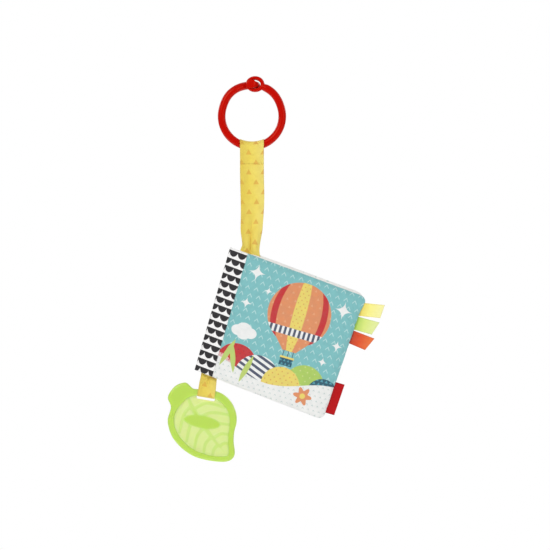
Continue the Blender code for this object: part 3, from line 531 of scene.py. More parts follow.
def loop_place(along, across):
    """Up the front from the stitch line, over the ring's foot, and down behind."""
    x = across * STRAP_WIDTH / 2
    rod_z = ring_centre.z - sqrt(ring_r ** 2 - x ** 2)
    side = -1 if along < 0.5 else 1
    run = min(along, 1 - along)
    leg = rod_z - stitch.z
    if run < LOOP_LEG_SHARE:
        share = run / LOOP_LEG_SHARE
        belly = LOOP_BELLY * sin(share * pi) * cos(across * 2.4 + side)
        y = TAPE_APART / 2 + (loop_r - TAPE_APART / 2) * ease(share) + belly
        point = Vector((x, side * y, stitch.z + leg * share))
        point += rumple(point, STRAP_RUMPLE * (1 - ease(share, 0.2, 0.9)))
        travel = leg * share
    else:
        angle = pi / 2 * (run - LOOP_LEG_SHARE) / (0.5 - LOOP_LEG_SHARE)
        point = Vector((x, side * loop_r * cos(angle), rod_z + loop_r * sin(angle)))
        travel = leg + loop_r * angle
    if side > 0:
        travel = 2 * leg + pi * loop_r - travel
    return point, (x / MM, travel / MM)


strap_loop = cloth("strap_loop_tape", 84, 26, loop_place, TAPE_T, strap_finish)
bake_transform(strap_loop)
stand_in(strap_loop, "strap_loop")


def strap_place(along, across):
    """Down the front ply to the foot, round inside the seam, and up the back ply."""
    side = -1 if along < 0.5 else 1
    run = 1 - abs(2 * along - 1)
    length = (stitch - strap_foot).length
    gather = 0.25 * ease(run, 0.3, 0.75) + 0.75 * ease(run, 0.68, 0.92)
    spread = ease(run, 0.9, 0.98)
    width = STRAP_WIDTH + (GATHER_WIDTH - STRAP_WIDTH) * gather + (FOOT_WIDTH - GATHER_WIDTH) * spread
    lean = (strap_foot.x - stitch.x) * ease(run, 0.4, 1.0)
    sway = STRAP_SWAY * ease(run, 0.05, 0.4) * (1 - ease(run, 0.85, 1.0))
    x = stitch.x + lean + across * width / 2 + sway
    crease = exp(-((across + 0.04) / 0.15) ** 2) - 0.7 * abs(sin(across * pi)) ** 1.5
    ripple = STRAP_RIPPLE * sin(run * 11 + across * 4.2) * (1 - spread) * ease(run, 0.02, 0.3)
    edge_curl = STRAP_EDGE_CURL * ease(-across, 0.55, 1.0) * ease(run, 0.05, 0.3) * (1 - spread)
    gathered = ease(run, 0.55, 0.92)
    y = CREASE_DEPTH * crease * gathered * (1 - 0.6 * spread) + ripple + edge_curl
    apart = TAPE_APART + (FOOT_APART - TAPE_APART) * ease(run, 0.9, 1.0)
    slope = (book_out.z / book_out.x - TOP_SLOPE) * ease(run, 0.75, 1.0)
    z = stitch.z - run * (length + FOOT_TUCK) + (x - stitch.x - lean) * slope
    travel = run * (length + FOOT_TUCK)
    middle = Vector((x, y, z))
    creased = middle + rumple(middle, STRAP_RUMPLE * (1 - ease(run, 0.85, 0.95)))
    return creased + Vector((0, side * apart / 2, 0)), (across * width / 2 / MM, side * travel / MM)


hang_strap = cloth("hang_strap_tape", 220, 26, strap_place, TAPE_T, strap_finish)
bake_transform(hang_strap)
stand_in(hang_strap, "hang_strap")

THREAD_D = 0.32 * MM
STITCH_LENGTH = 2.3 * MM
STITCH_SPACING = 2.9 * MM
THREAD_RISE = 0.12 * MM
ROW_SHARE = 0.86
ROW_DROP = 0.9 * MM
ROW_STEPS = 24


def stitch_tree():
    """Geometry nodes that sew a row of small raised stitches along a line."""
    tree = bpy.data.node_groups.new("row_of_stitches", "GeometryNodeTree")
    for name, kind in (
        ("Geometry", "NodeSocketGeometry"), ("Spacing", "NodeSocketFloat"), ("Length", "NodeSocketFloat"),
        ("Thread", "NodeSocketFloat"), ("Facing", "NodeSocketVector"), ("Material", "NodeSocketMaterial"),
    ):
        tree.interface.new_socket(name, in_out="INPUT", socket_type=kind)
    tree.interface.new_socket("Geometry", in_out="OUTPUT", socket_type="NodeSocketGeometry")
    given = tree.nodes.new("NodeGroupInput").outputs

    def add(kind, inputs, **settings):
        return add_node(tree, kind, inputs, **settings).outputs

    def scaled(amount, factor):
        return add("ShaderNodeMath", {0: amount, 1: factor}, operation="MULTIPLY")[0]

    def joined(x, z):
        return add("ShaderNodeCombineXYZ", {"X": x, "Z": z})[0]

    curve = add("GeometryNodeMeshToCurve", {"Mesh": given["Geometry"]})[0]
    points = add("GeometryNodeCurveToPoints", {"Curve": curve, "Length": given["Spacing"]}, mode="LENGTH")
    sunk = scaled(given["Thread"], -0.5)
    arch = add("GeometryNodeCurveQuadraticBezier", {
        "Resolution": 7,
        "Start": joined(scaled(given["Length"], -0.5), sunk),
        "Middle": joined(0.0, scaled(given["Thread"], 1.4)),
        "End": joined(scaled(given["Length"], 0.5), sunk),
    })[0]
    circle = {"Resolution": 8, "Radius": scaled(given["Thread"], 0.5)}
    section = add("GeometryNodeCurvePrimitiveCircle", circle)[0]
    thread = add("GeometryNodeCurveToMesh", {"Curve": arch, "Profile Curve": section, "Fill Caps": True})[0]
    turn = add("FunctionNodeAlignRotationToVector", {"Vector": points["Tangent"]}, axis="X")[0]
    outward = {"Rotation": turn, "Vector": given["Facing"]}
    face = add("FunctionNodeAlignRotationToVector", outward, axis="Z", pivot_axis="X")[0]
    each = {"Points": points["Points"], "Instance": thread, "Rotation": face}
    sewn = add("GeometryNodeInstanceOnPoints", each)[0]
    real = add("GeometryNodeRealizeInstances", {0: sewn})[0]
    dyed = add("GeometryNodeSetMaterial", {"Geometry": real, "Material": given["Material"]})[0]
    add("NodeGroupOutput", {0: dyed})
    return tree


def stitches(name, points, finish, facing):
    """A row of stitches along points that lie on the cloth."""
    mesh = bpy.data.meshes.new(name)
    mesh.from_pydata(points, [(index, index + 1) for index in range(len(points) - 1)], [])
    row = placed(name, mesh)
    sew = row.modifiers.new("sew", "NODES")
    sew.node_group = sewing
    sizes = {
        "Spacing": STITCH_SPACING, "Length": STITCH_LENGTH, "Thread": THREAD_D,
        "Facing": facing, "Material": finish,
    }
    for item in sewing.interface.items_tree:
        if item.in_out == "INPUT" and item.name in sizes:
            sew[item.identifier] = sizes[item.name]
    row.update_tag()
    return settle(row)


sewing = stitch_tree()
thread_yellow = Finish("yellow_sewing_thread", "EACA58", 0.6, 0.2, by="Object")
thread_yellow.lay("CFA23A", thread_yellow.mottle(0.7) * 0.5)
thread_yellow.relief(thread_yellow.mottle(0.15), 0.03)
yellow_thread = thread_yellow.done()

for name, side in (("front", -1), ("back", 1)):
    line = []
    for step in range(ROW_STEPS + 1):
        x = (2 * step / ROW_STEPS - 1) * ROW_SHARE * STRAP_WIDTH / 2
        y = side * (TAPE_APART / 2 + TAPE_T / 2 + THREAD_RISE)
        point = Vector((x, y, stitch.z - ROW_DROP))
        line.append(point + rumple(point, STRAP_RUMPLE))
    row = stitches("strap_stitches_" + name, line, yellow_thread, (0, side, 0))
    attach(row, "strap")

# The book's spine. A band of white cotton printed with rows of black half-moons goes round the back of
# the book and on to both covers. Its fold turns with the covers, so it is cut here into two arcs that
# lie one inside the other round the line that the covers turn on.
COVER_HEIGHT = 121.0
TOP_REACH = 134.0
FOOT_REACH = 128.0
FOOT_FALL = 11.3
FOOT_SLOPE = FOOT_FALL / FOOT_REACH
TURN_OUT = 1.0
BAND_END = 16.0
FOLD_END = 10.4
FOLD_T = 0.5
FOLD_DEPTH = 4.2
BACK_ARC_R = 3.25
FRONT_ARC_R = 2.75
ARC_FLATNESS = 0.8
FOLD_TURN = 130
FOLD_TAPER = 8.5
FRONT_SEAM = -4.25
PAGE_SEAM = -1.25
BACK_SEAM = 1.75
TURN_DEPTH = -1.25
ROW_PITCH = 7.6
LOBE_PITCH = 8.4
LOBE_R = 4.3
MOON_GAP = 0.9
MOON_SQUASH = 0.56
BAR_HALF = 0.6
BAND_WHITE = "FAF9F8"
BAND_BLACK = "0D090D"

turn_place = Vector(turn_joint["pos_m"])
book_corner = turn_place - book_out * TURN_OUT * MM + book_up * COVER_HEIGHT / 2 * MM
book_corner.y = 0


def on_book(out, deep, up):
    """A point of the book in the row frame: out from the spine, depth, and height, in mm."""
    return book_corner + (out * book_out + up * book_up + deep * Vector((0, 1, 0))) * MM


def half_moons(finish, x, y):
    """Rows of half-moons, flat side up, each row shifted by half a moon."""
    local_x, local_y = cells(finish, x, y, LOBE_PITCH, ROW_PITCH)
    from_flat = ROW_PITCH / 2 - MOON_GAP - local_y
    round_side = finish.work("SQRT", local_x * local_x + from_flat * from_flat * MOON_SQUASH)
    moons = finish.within(round_side, LOBE_R) * finish.beyond(from_flat, 0.0)
    bar = finish.within(abs(from_flat - BAR_HALF), BAR_HALF)
    return finish.work("MAXIMUM", moons, bar)


band = Finish("band_half_moon_print", BAND_WHITE, 0.88, 0.1)
band_x, band_y = band.spot()[:2]
band.lay(BAND_BLACK, half_moons(band, band_x - 2.9, band_y + 1.0))
weave(band, fade=0.07, shade="9A96A0", crease=0.5, crease_size=7.0)
band_finish = band.done()


def top_edge(out):
    return -TOP_SLOPE * out


def foot_edge(out):
    return -COVER_HEIGHT - FOOT_SLOPE * out


def fold_place(radius, toward):
    """Part of the band's fold: an arc round the turning line and a straight run out to the cover."""
    arc = pi * radius

    def place(along, across):
        share = (1 - across) / 2
        straight = FOLD_END - TURN_OUT
        turn_run = radius * radians(FOLD_TURN)
        run = along * (straight + turn_run)
        if run < straight:
            out = FOLD_END - run
            blend_y = FOLD_DEPTH + (radius - FOLD_DEPTH) * ease((FOLD_END - out) / FOLD_TAPER)
            y = TURN_DEPTH + toward * blend_y
            printed = out
        else:
            angle = (run - straight) / radius
            out = TURN_OUT - radius * ARC_FLATNESS * sin(angle)
            y = TURN_DEPTH + toward * radius * cos(angle)
            printed = TURN_OUT - (run - straight)
        if toward > 0:
            printed = 2 * TURN_OUT - arc - printed
        wobble = 0.12 * sin(share * 60) + 0.1 * sin(share * 23 + run)
        up = top_edge(out) * (1 - share) + foot_edge(out) * share
        return on_book(out, y + toward * wobble * 0.4, up), (printed, up + TOP_SLOPE * out)

    return place


back_fold = cloth("spine_band_back", 40, 70, fold_place(BACK_ARC_R, 1), FOLD_T * MM, band_finish)
stand_in(back_fold, "spine_fold", "book")

front_fold = cloth("spine_band_front", 40, 70, fold_place(FRONT_ARC_R, -1), FOLD_T * MM, band_finish)
stand_in(front_fold, "spine_fold", "front_cover")

# Inside the fold the margins of both covers and of the page are sewn together into a stiff stack.
PLIES = 5
STACK_T = 2.9
STACK_FROM = 1.2
STACK_TO = 9.8
lining_white = Finish("plain_white_cotton", "F4F4F1", 0.88, 0.25)
lining_x, lining_y = lining_white.spot()[:2]
lining_white.lay("A9D8D2", triangles(lining_white, lining_x, lining_y, 12.0, 9.0, 2.8, 2.4) * 0.75)
weave(lining_white, fade=0.1, shade="A8A8A0")
plain_cotton = lining_white.done()

SECTION = 12
STACK_ROWS = 60
PLY_SPARE = 1.06
PLY_SQUARENESS = 3.0
STACK_TRIM, STACK_RAG = 0.5, 0.35
stack_points, stack_spots, stack_faces = [], [], []
for number in range(PLIES):
    middle = TURN_DEPTH + STACK_T * ((number + 0.5) / PLIES - 0.5)
    half = STACK_T / PLIES / 2 * PLY_SPARE
    first_point = len(stack_points)
    for row in range(STACK_ROWS + 1):
        share = row / STACK_ROWS
        trim = STACK_TRIM + STACK_RAG * noise.noise(Vector((number * 3.1, share * 9, 0)))
        for step in range(SECTION):
            wide, thick = rounded(2 * pi * step / SECTION, PLY_SQUARENESS)
            out = (STACK_FROM + STACK_TO) / 2 + wide * (STACK_TO - STACK_FROM) / 2
            up = (top_edge(out) - trim) * (1 - share) + (foot_edge(out) + trim) * share
            stack_points.append(on_book(out, middle + thick * half, up))
            stack_spots.append((out, up))
    stack_faces += tube(STACK_ROWS + 1, SECTION, first_point)
spine_seam = settle(piece("spine_seam_stack", stack_points, stack_faces, plain_cotton, stack_spots))
stand_in(spine_seam, "spine_seam", "book")

# Back cover, sewn like the front one: an outer panel and a lining, turned right side out over a sheet of
# wadding and a film that crackles. Only its pale top edge shows in the photo, so its print is a guess.
COVER_RISE = 1.5
COVER_CROWN = 1.0
CORNER_R = 6.5
CORNER_OUT = 0.9
CLOTH_T = 0.45
PUCKER = 0.5
BILLOW = 0.55
PUFFED_CROWN = 0.5
COLUMN_PITCH = 1.25
FACE_ROWS = 100
LINING_SLACK = 0.25
LIFT_FROM, LIFT_OVER, LIFT_DROP = 14, 10, 14
CORNER_SHARE = 0.16
CROWN_OVER = 14
PUCKER_SIZE, PUCKER_REACH = 7.5, 7
BILLOW_SIZE, BILLOW_OVER = 34, 12
INNER_SEAM_STEEP, INNER_SEAM_START = 1.6, 0.9
THINNING, THIN_TO, THIN_OVER = 0.55, 12, 8
BAND_SWELL, BAND_DIP, BAND_TURN_IN, BAND_RUMPLE = 0.5, 0.45, 0.5, 0.14
FILLER_START = 16.4
WADDING_SHIFT, WADDING_T, WADDING_INSET = 0.35, 0.9, 1.6
WADDING_BUMPS, WADDING_BUMP_SIZE = 0.12, 9.0
FILM_SHIFT, FILM_T, FILM_INSET = 0.6, 0.1, 1.8
FILM_BUMPS, FILM_BUMP_SIZE, FILM_ROWS = 0.16, 5.0, 90
EDGE_ROLL = 3.8
BACK_LIFT = 2.3


def fore_edge(share, corner_out):
    return TOP_REACH + (FOOT_REACH - TOP_REACH) * share + corner_out * (1 - ease(share / CORNER_SHARE))


def graded(share):
    """Spaces a grid's lines closer near a cloth's edges."""
    return 0.6 * share + 0.4 * (0.5 - 0.5 * cos(pi * share))


def rounded_corner(out, up, reach, lift):
    """Draws a point in from the square corners at the fore edge."""
    for edge_up, way in ((top_edge(reach) + lift, 1), (foot_edge(reach), -1)):
        dx = (out - (reach - CORNER_R)) / CORNER_R
        dz = (way * (up - edge_up) + CORNER_R + way * TOP_SLOPE * (out - reach)) / CORNER_R
        if dx > 0 and dz > 0:
            out = reach - CORNER_R + CORNER_R * dx * sqrt(max(1 - dz * dz / 2, 0))
            new_dz = dz * sqrt(max(1 - dx * dx / 2, 0))
            up += way * CORNER_R * (new_dz - dz)
    return out, up


SIM_SCALE = 20
SIM_FRAMES = 20
CLOTH_SPARE = 0.02
WADDING_PRESS = 0.4
WADDING_HOLD = 0.12
MOST_MOVE = 2.5 * MM


def plump(face, rows, columns, toward):
    """Cloth simulation: the wadding presses a slightly loose face outwards while its seams hold it.

    It runs at twenty times the size, because the solver is poor at millimetres.
    """
    before = [vert.co.copy() for vert in face.data.vertices]
    for vert in face.data.vertices:
        vert.co *= SIM_SCALE
    held = face.vertex_groups.new(name="held")
    for row in range(rows + 1):
        for column in range(columns + 1):
            at_seam = row in (0, rows) or column in (0, columns)
            held.add([row * (columns + 1) + column], 1.0 if at_seam else WADDING_HOLD, "REPLACE")
    blown = face.modifiers.new("blown", "CLOTH")
    cotton = blown.settings
    cotton.vertex_group_mass = held.name
    cotton.mass = 0.002
    cotton.quality = 6
    cotton.tension_stiffness = 40
    cotton.compression_stiffness = 40
    cotton.shear_stiffness = 10
    cotton.bending_stiffness = 0.02
    cotton.use_pressure = True
    cotton.uniform_pressure_force = toward * WADDING_PRESS
    cotton.shrink_min = -CLOTH_SPARE
    cotton.effector_weights.gravity = 0
    blown.collision_settings.use_collision = False
    for step in range(1, SIM_FRAMES + 1):
        bpy.context.scene.frame_set(step)
    filled = face.evaluated_get(bpy.context.evaluated_depsgraph_get())
    after = [vert.co / SIM_SCALE for vert in filled.data.vertices]
    face.modifiers.remove(blown)
    face.vertex_groups.remove(held)
    bpy.context.scene.frame_set(1)
    for vert, old, new in zip(face.data.vertices, before, after):
        move = new - old
        vert.co = old + move * min(1, MOST_MOVE / max(move.length, 1e-9))


def padded_face(
    name, start, seam, rise, crown, finish,
    lift=0.0, inset=0.0, seed=0.0, open_side=False, corner_out=CORNER_OUT,
):
    """One cloth face of a padded leaf: rolled over at its edges, crowned, and puckered at the seam."""
    columns = int((TOP_REACH - start) / COLUMN_PITCH)
    rows = FACE_ROWS
    toward = 1 if rise > 0 else -1
    points, spots = [], []
    for row in range(rows + 1):
        down = graded(row / rows)
        for column in range(columns + 1):
            share = column / columns
            share = 0.6 * share + 0.4 * sin(share * pi / 2)
            reach = fore_edge(down, corner_out) - inset
            out = start + share * (reach - start)
            raised = lift * ease((out - LIFT_FROM) / LIFT_OVER) * ease((reach + 2 - out) / LIFT_DROP)
            top = top_edge(out) + raised - inset
            foot = foot_edge(out) + inset
            up = top + (foot - top) * down
            from_edge = min(reach - out, top - up, up - foot)
            if not open_side:
                from_edge = min(from_edge, (out - start) * INNER_SEAM_STEEP + INNER_SEAM_START)
            out, up = rounded_corner(out, up, reach + inset, raised)
            roll = sqrt(max(1 - (1 - min(max(from_edge, 0) / EDGE_ROLL, 1)) ** 2, 0))
            where = Vector((out / PUCKER_SIZE, up / PUCKER_SIZE, seed))
            pucker = noise.noise(where) * PUCKER * exp(-from_edge / PUCKER_REACH) * min(from_edge, 1)
            where = Vector((out / BILLOW_SIZE, up / BILLOW_SIZE, seed + 5))
            billow = noise.noise(where) * BILLOW * ease(from_edge / BILLOW_OVER)
            full = abs(rise) * roll + (crown + billow) * ease(from_edge / CROWN_OVER) + pucker
            if open_side:
                full *= 1 - THINNING * ease((THIN_TO - out) / THIN_OVER)
            points.append(on_book(out, seam + toward * full, up))
            spots.append((out, up))
    face = piece(name, points, net(rows, columns), finish, spots)
    if crown > PUFFED_CROWN:
        plump(face, rows, columns, toward)
    wall = face.modifiers.new("cloth", "SOLIDIFY")
    wall.thickness = CLOTH_T * MM
    wall.offset = -1 if toward < 0 else 1
    return settle(face)


def band_strip(name, toward, lift):
    """The part of the spine's band that is sewn to a cover, up to the panel's seam."""
    fold_y = TURN_DEPTH + toward * FOLD_DEPTH

    def place(along, across):
        share = (1 - across) / 2
        out = FOLD_END - 0.4 + along * (BAND_END - FOLD_END + 0.5)
        top = top_edge(out) + lift * ease((out - LIFT_FROM) / LIFT_OVER)
        up = top * (1 - share) + foot_edge(out) * share
        from_edge = min(top - up, up - foot_edge(out))
        roll = sqrt(max(1 - (1 - min(from_edge / 1.2, 1)) ** 2, 0))
        dip = BAND_DIP * ease((out - 14.2) / 1.9)
        y = fold_y + toward * (0.06 + BAND_SWELL * ease((out - 10) / 4) - dip) * roll
        y -= toward * BAND_TURN_IN * (1 - roll)
        y += toward * BAND_RUMPLE * noise.noise(Vector((out / 6, up / 5, 2.0)))
        return on_book(out, y, up), (out, up + TOP_SLOPE * out)

    return cloth(name, 14, 110, place, CLOTH_T * MM, band_finish)


def filler(name, y, thick, finish, start, inset, crumple, size, rows=70, corner_out=CORNER_OUT):
    """A sheet inside a cover or the page: crumpled film, or wadding."""
    def place(along, across):
        share = (1 - across) / 2
        reach = fore_edge(share, corner_out) - inset
        out = start + along * (reach - start)
        up = (top_edge(out) - inset) * (1 - share) + (foot_edge(out) + inset) * share
        out, up = rounded_corner(out, up, reach + inset, -inset)
        bump = noise.noise(Vector((out / size, up / size, y))) * crumple
        return on_book(out, y + bump, up), (out, up)

    return cloth(name, rows, rows, place, thick * MM, finish)


wadding = Finish("white_wadding", "F2F2EE", 0.95, 0.5)
wadding.lay("C9C9C2", wadding.mottle(1.6, 4.0) * 0.4)
wadding.relief(wadding.mottle(1.1, 4.0), 0.5)
wadding_finish = wadding.done()
film = Finish("crackling_clear_film", "DDE3E6", 0.12)
film.set("Transmission Weight", 0.6)
film.lay("FFFFFF", film.mottle(4.0) * 0.3)
film.relief(film.mottle(3.0, 3.0), 0.6)
film_finish = film.done()


def chevrons(finish, x, y, pitch, row, half_width, thick):
    """Staggered rows of small arrowheads that point up."""
    local_x, local_y = cells(finish, x, y, pitch, row)
    wide = abs(local_x)
    mark = finish.within(abs(local_y + wide * 1.35 - half_width * 0.7), thick / 2 * 1.6)
    return mark * finish.within(wide, half_width)


def dots(finish, x, y, pitch, radius):
    """Staggered rows of dots."""
    local_x, local_y = cells(finish, x, y, pitch, pitch * 0.62)
    return finish.within(finish.apart(local_x, local_y), radius)


def cover_leaf(side, body, seam, toward, face_finish, lining_from, lift, corner_out, seed):
    """One padded cover: outer panel, lining, strip of the band, wadding and film. Gives its panel."""
    panel = padded_face(
        side + "_panel_cloth", BAND_END, seam, toward * COVER_RISE, COVER_CROWN, face_finish,
        lift, seed=seed, corner_out=corner_out)
    lining = padded_face(
        side + "_lining_cloth", lining_from, seam, -toward * (COVER_RISE - LINING_SLACK), 0.0, plain_cotton,
        lift, seed=seed + 1, open_side=True, corner_out=corner_out)
    strip = band_strip(side + "_band_strip", toward, lift)
    padding = filler(
        side + "_wadding_sheet", seam + toward * WADDING_SHIFT, WADDING_T, wadding_finish,
        FILLER_START, WADDING_INSET, WADDING_BUMPS, WADDING_BUMP_SIZE, corner_out=corner_out)
    foil = filler(
        side + "_film_sheet", seam - toward * FILM_SHIFT, FILM_T, film_finish,
        FILLER_START, FILM_INSET, FILM_BUMPS, FILM_BUMP_SIZE, FILM_ROWS, corner_out)
    for thing, node, slot in (
        (panel, "panel", "cover_print"), (lining, "lining", "lining_cotton"), (strip, "band", "spine_cotton"),
        (padding, "wadding", "wadding"), (foil, "crinkle_film", "crinkle_film"),
    ):
        stand_in(thing, side + "_" + node, body)
    return panel


back_print = Finish("back_cover_print", "F6F5F2", 0.84, 0.25)
back_x, back_y = back_print.spot()[:2]
back_print.lay("9CCFCF", chevrons(back_print, back_x, back_y, 8.0, 7.0, 1.9, 0.8) * 0.85)
weave(back_print, fade=0.08, shade="9A9A9A")
back_finish = back_print.done()

cover_leaf("back", "book", BACK_SEAM, 1, back_finish, 9.6, BACK_LIFT, CORNER_OUT, 11.0)

# Page. Two printed faces sewn together round a second sheet of film, thinner than the covers and with no
# wadding. It isn't seen in the photo, so its generic print is a guess.
page_print = Finish("page_print", "F6F5F1", 0.84, 0.25)
page_x, page_y = page_print.spot()[:2]
below_top = page_print.within(page_y + TOP_SLOPE * page_x, -6.0)
page_print.lay("F1C95B", dots(page_print, page_x, page_y, 12.0, 1.1) * below_top)
ring_x, ring_y = page_x - 74.0, page_y + 62.0
page_round = page_print.apart(ring_x, ring_y)
for radius, colour in ((34.0, "E2703A"), (25.0, "F7F3E4"), (16.0, "4FA9A6"), (7.0, "F4D35E")):
    page_print.lay(colour, page_print.within(page_round, radius))
weave(page_print, fade=0.08, shade="A0A090")
page_finish = page_print.done()

PAGE_START = 1.0
PAGE_RISE = 0.85
PAGE_CROWN = 0.12
PAGE_LIFT = 1.5
PAGE_INSET = 0.5
PAGE_FILM_START, PAGE_FILM_INSET = 10.8, 1.9
page_front = padded_face(
    "page_front_cloth", PAGE_START, PAGE_SEAM, -PAGE_RISE, PAGE_CROWN, page_finish,
    PAGE_LIFT, PAGE_INSET, seed=21.0, open_side=True)
page_back = padded_face(
    "page_back_cloth", PAGE_START, PAGE_SEAM, PAGE_RISE, PAGE_CROWN, page_finish,
    PAGE_LIFT, PAGE_INSET, seed=22.0, open_side=True)
page_film = filler(
    "page_film_sheet", PAGE_SEAM, FILM_T, film_finish,
    PAGE_FILM_START, PAGE_FILM_INSET, FILM_BUMPS, FILM_BUMP_SIZE, FILM_ROWS)
for thing, node, slot in (
    (page_front, "page_front", "page_print"), (page_back, "page_back", "page_print"),
    (page_film, "page_crinkle_film", "crinkle_film"),
):
    stand_in(thing, node, "page")

# Front cover. The same make as the back one, with a bright print: a balloon over patchwork hills under a
# pale chevron sky, above a pale dotted ground. The picture is a generic one, drawn for this part.
SKY = "80C3C5"
SKY_MARK = "CDEBE9"
GROUND = "F6F5F2"
GROUND_MARK = "C6D2CF"
GROUND_LINE = -107.0
GROUND_WAVE = 6.8
ORANGE = "E8915B"
ORANGE_MARK = "EFA97B"
RED = "CB0A12"
RED_MARK = "A8000A"
NAVY = "4A4A63"
DEEP_TEAL = "1D5166"
TEAL_MARK = "4F9FB0"
YELLOW = "F2DA66"
YELLOW_MARK = "E3A94A"
GREEN = "B2D25A"
GREEN_MARK = "CFE08A"
PINK = "EDBDB8"
PINK_MARK = "D9706E"
WHITE = "F8F7F5"

cover = Finish("front_cover_print", SKY, 0.82, 0.25)
cx, cy = cover.spot()[:2]


def from_point(x, y, wide=1.0):
    """How far a spot on the cover is from a point, for circles and ovals."""
    return cover.apart((cx - x) / wide, cy - y)


def star(x, y, size):
    """A four-pointed star."""
    spread = cover.work("SQRT", abs(cx - x)) + cover.work("SQRT", abs(cy - y))
    return cover.within(spread, sqrt(size), 0.16)


def hill(x, y, radius, colour, mark_colour, mark):
    """A round hill of patchwork, with its own small print."""
    shape = cover.within(from_point(x, y), radius)
    cover.lay(colour, shape)
    cover.lay(mark_colour, shape * mark)


cover.lay(SKY_MARK, chevrons(cover, cx, cy, 8.4, 7.0, 2.1, 0.85) * 0.66)
STARS = ((30, -16, 9.0), (28, -46, 6.0), (118, -28, 9.5), (121, -62, 6.0), (45, -30, 4.5), (112, -80, 5.0))
for x, y, size in STARS:
    cover.lay(WHITE, star(x, y, size))

for x, y, radius in ((27, -73, 5.0), (33, -71, 6.5), (40, -73, 5.0), (33.5, -75, 5.5)):
    cover.lay(WHITE, cover.within(from_point(x, y, 1.15), radius))

hill(101, -106, 19.0, GREEN, GREEN_MARK, dots(cover, cx, cy, 7.0, 0.7))
hill(34, -105, 20.0, RED, RED_MARK, dots(cover, cx, cy, 5.5, 0.6))
striped = cover.within(cover.work("FRACT", (cx * 0.35 + cy * 0.94) / 5.2), 0.48, 0.06)
hill(56, -111, 21.0, WHITE, NAVY, striped)
hill(80, -113, 18.5, YELLOW, YELLOW_MARK, dots(cover, cx, cy, 5.6, 0.65))
hill(120, -110, 15.0, DEEP_TEAL, TEAL_MARK, triangles(cover, cx, cy, 4.4, 3.8, 3.0, 2.6))
hill(19, -110, 12.0, PINK, PINK_MARK, dots(cover, cx, cy, 5.4, 0.7))

BALLOON_X, BALLOON_Y, BALLOON_R = 79.0, -43.0, 30.0
SKIRT_TOP, SKIRT_FOOT = -55.0, -79.0
SKIRT_TOP_HALF, SKIRT_FOOT_HALF = 27.5, 6.5
BULGE_R = 40.0
GORE_HALF = 0.2
STRIPE_AT, STRIPE_HALF = 0.78, 0.10
BELT_DROP, BELT_HALF, BELT_PITCH = 61.0, 3.6, 4.6
ROPE_DROP, ROPE_SPREAD = 82.4, 4.6
BASKET_DROP, BASKET_HALF = 89.0, 6.2
BRIM_DROP, BRIM_HALF = 85.2, 6.8
ball = cover.within(from_point(BALLOON_X, BALLOON_Y), BALLOON_R)
from_middle = abs(cx - BALLOON_X)
narrowing = (SKIRT_TOP_HALF - SKIRT_FOOT_HALF) / (SKIRT_TOP - SKIRT_FOOT)
skirt = cover.within(from_middle, SKIRT_TOP_HALF + (cy - SKIRT_TOP) * narrowing)
skirt = skirt * cover.within(cy, SKIRT_TOP + 0.1) * cover.beyond(cy, SKIRT_FOOT)
balloon = cover.work("MAXIMUM", ball, skirt)
cover.lay(ORANGE, balloon)
cover.lay(ORANGE_MARK, balloon * triangles(cover, cx, cy, 8.0, 7.0, 2.4, 2.2))
above = cy - BALLOON_Y
bulge = cover.work("SQRT", cover.work("MAXIMUM", 1 - above * above / BULGE_R ** 2, 0.0))
gore = from_middle / (bulge * BALLOON_R + 0.01)
middle_gore = balloon * cover.within(gore, GORE_HALF, 0.02)
cover.lay(YELLOW, middle_gore)
cover.lay(YELLOW_MARK, middle_gore * dots(cover, cx, cy, 5.0, 0.6))
cover.lay(RED, balloon * cover.within(abs(gore - STRIPE_AT), STRIPE_HALF, 0.02))
belt = cover.within(abs(cy + BELT_DROP), BELT_HALF) * balloon
cover.lay(WHITE, belt)
cover.lay(NAVY, belt * cover.within(cover.work("FRACT", cx / BELT_PITCH), 0.5, 0.06))
for side in (-ROPE_SPREAD, 0.0, ROPE_SPREAD):
    rope = cover.within(abs(cx - BALLOON_X - side), 0.35) * cover.within(abs(cy + ROPE_DROP), 3.6)
    cover.lay(NAVY, rope)
basket = cover.within(from_middle, BASKET_HALF) * cover.within(abs(cy + BASKET_DROP), 4.0)
cover.lay(DEEP_TEAL, basket)
cover.lay(TEAL_MARK, basket * triangles(cover, cx, cy, 3.6, 3.2, 2.4, 2.0))
cover.lay(YELLOW, cover.within(from_middle, BRIM_HALF) * cover.within(abs(cy + BRIM_DROP), 0.9))

wave = cover.work("COSINE", (cx - 5.0) * (2 * pi / 125))
ground_line = wave * GROUND_WAVE + GROUND_LINE
ground = cover.within(cy, ground_line)
cover.lay(GROUND, ground)
cover.lay(GROUND_MARK, ground * chevrons(cover, cx, cy, 5.2, 4.6, 0.9, 0.5))

BLADE_REACH, BLADE_HALF = 14.0, 2.6
for x, y, lean in ((24, -96, 0.3), (30, -99, -0.3), (45, -106, 0.25)):
    blade_y = cy - y
    middle = abs(cx - x - blade_y * lean)
    half = cover.work("MAXIMUM", 1 - blade_y * blade_y / BLADE_REACH ** 2, 0.0) * BLADE_HALF
    cover.lay("C3D76B", cover.within(middle, half) * cover.beyond(half, 0.05, 0.1))

FLOWER_X, FLOWER_Y = 103.0, -116.0
PETALS, PETAL_R, PETAL_WAVE = 6.0, 7.0, 1.9
petal_turn = cover.work("ARCTAN2", cy - FLOWER_Y, cx - FLOWER_X)
petals = cover.work("COSINE", petal_turn * PETALS) * PETAL_WAVE + PETAL_R
cover.lay(ORANGE, cover.within(from_point(FLOWER_X, FLOWER_Y), petals))
cover.lay(YELLOW, cover.within(from_point(FLOWER_X, FLOWER_Y), 2.6))
weave(cover, fade=0.2, shade="5A8A90", crease=0.8, crease_size=7.0)
cover_finish = cover.done()

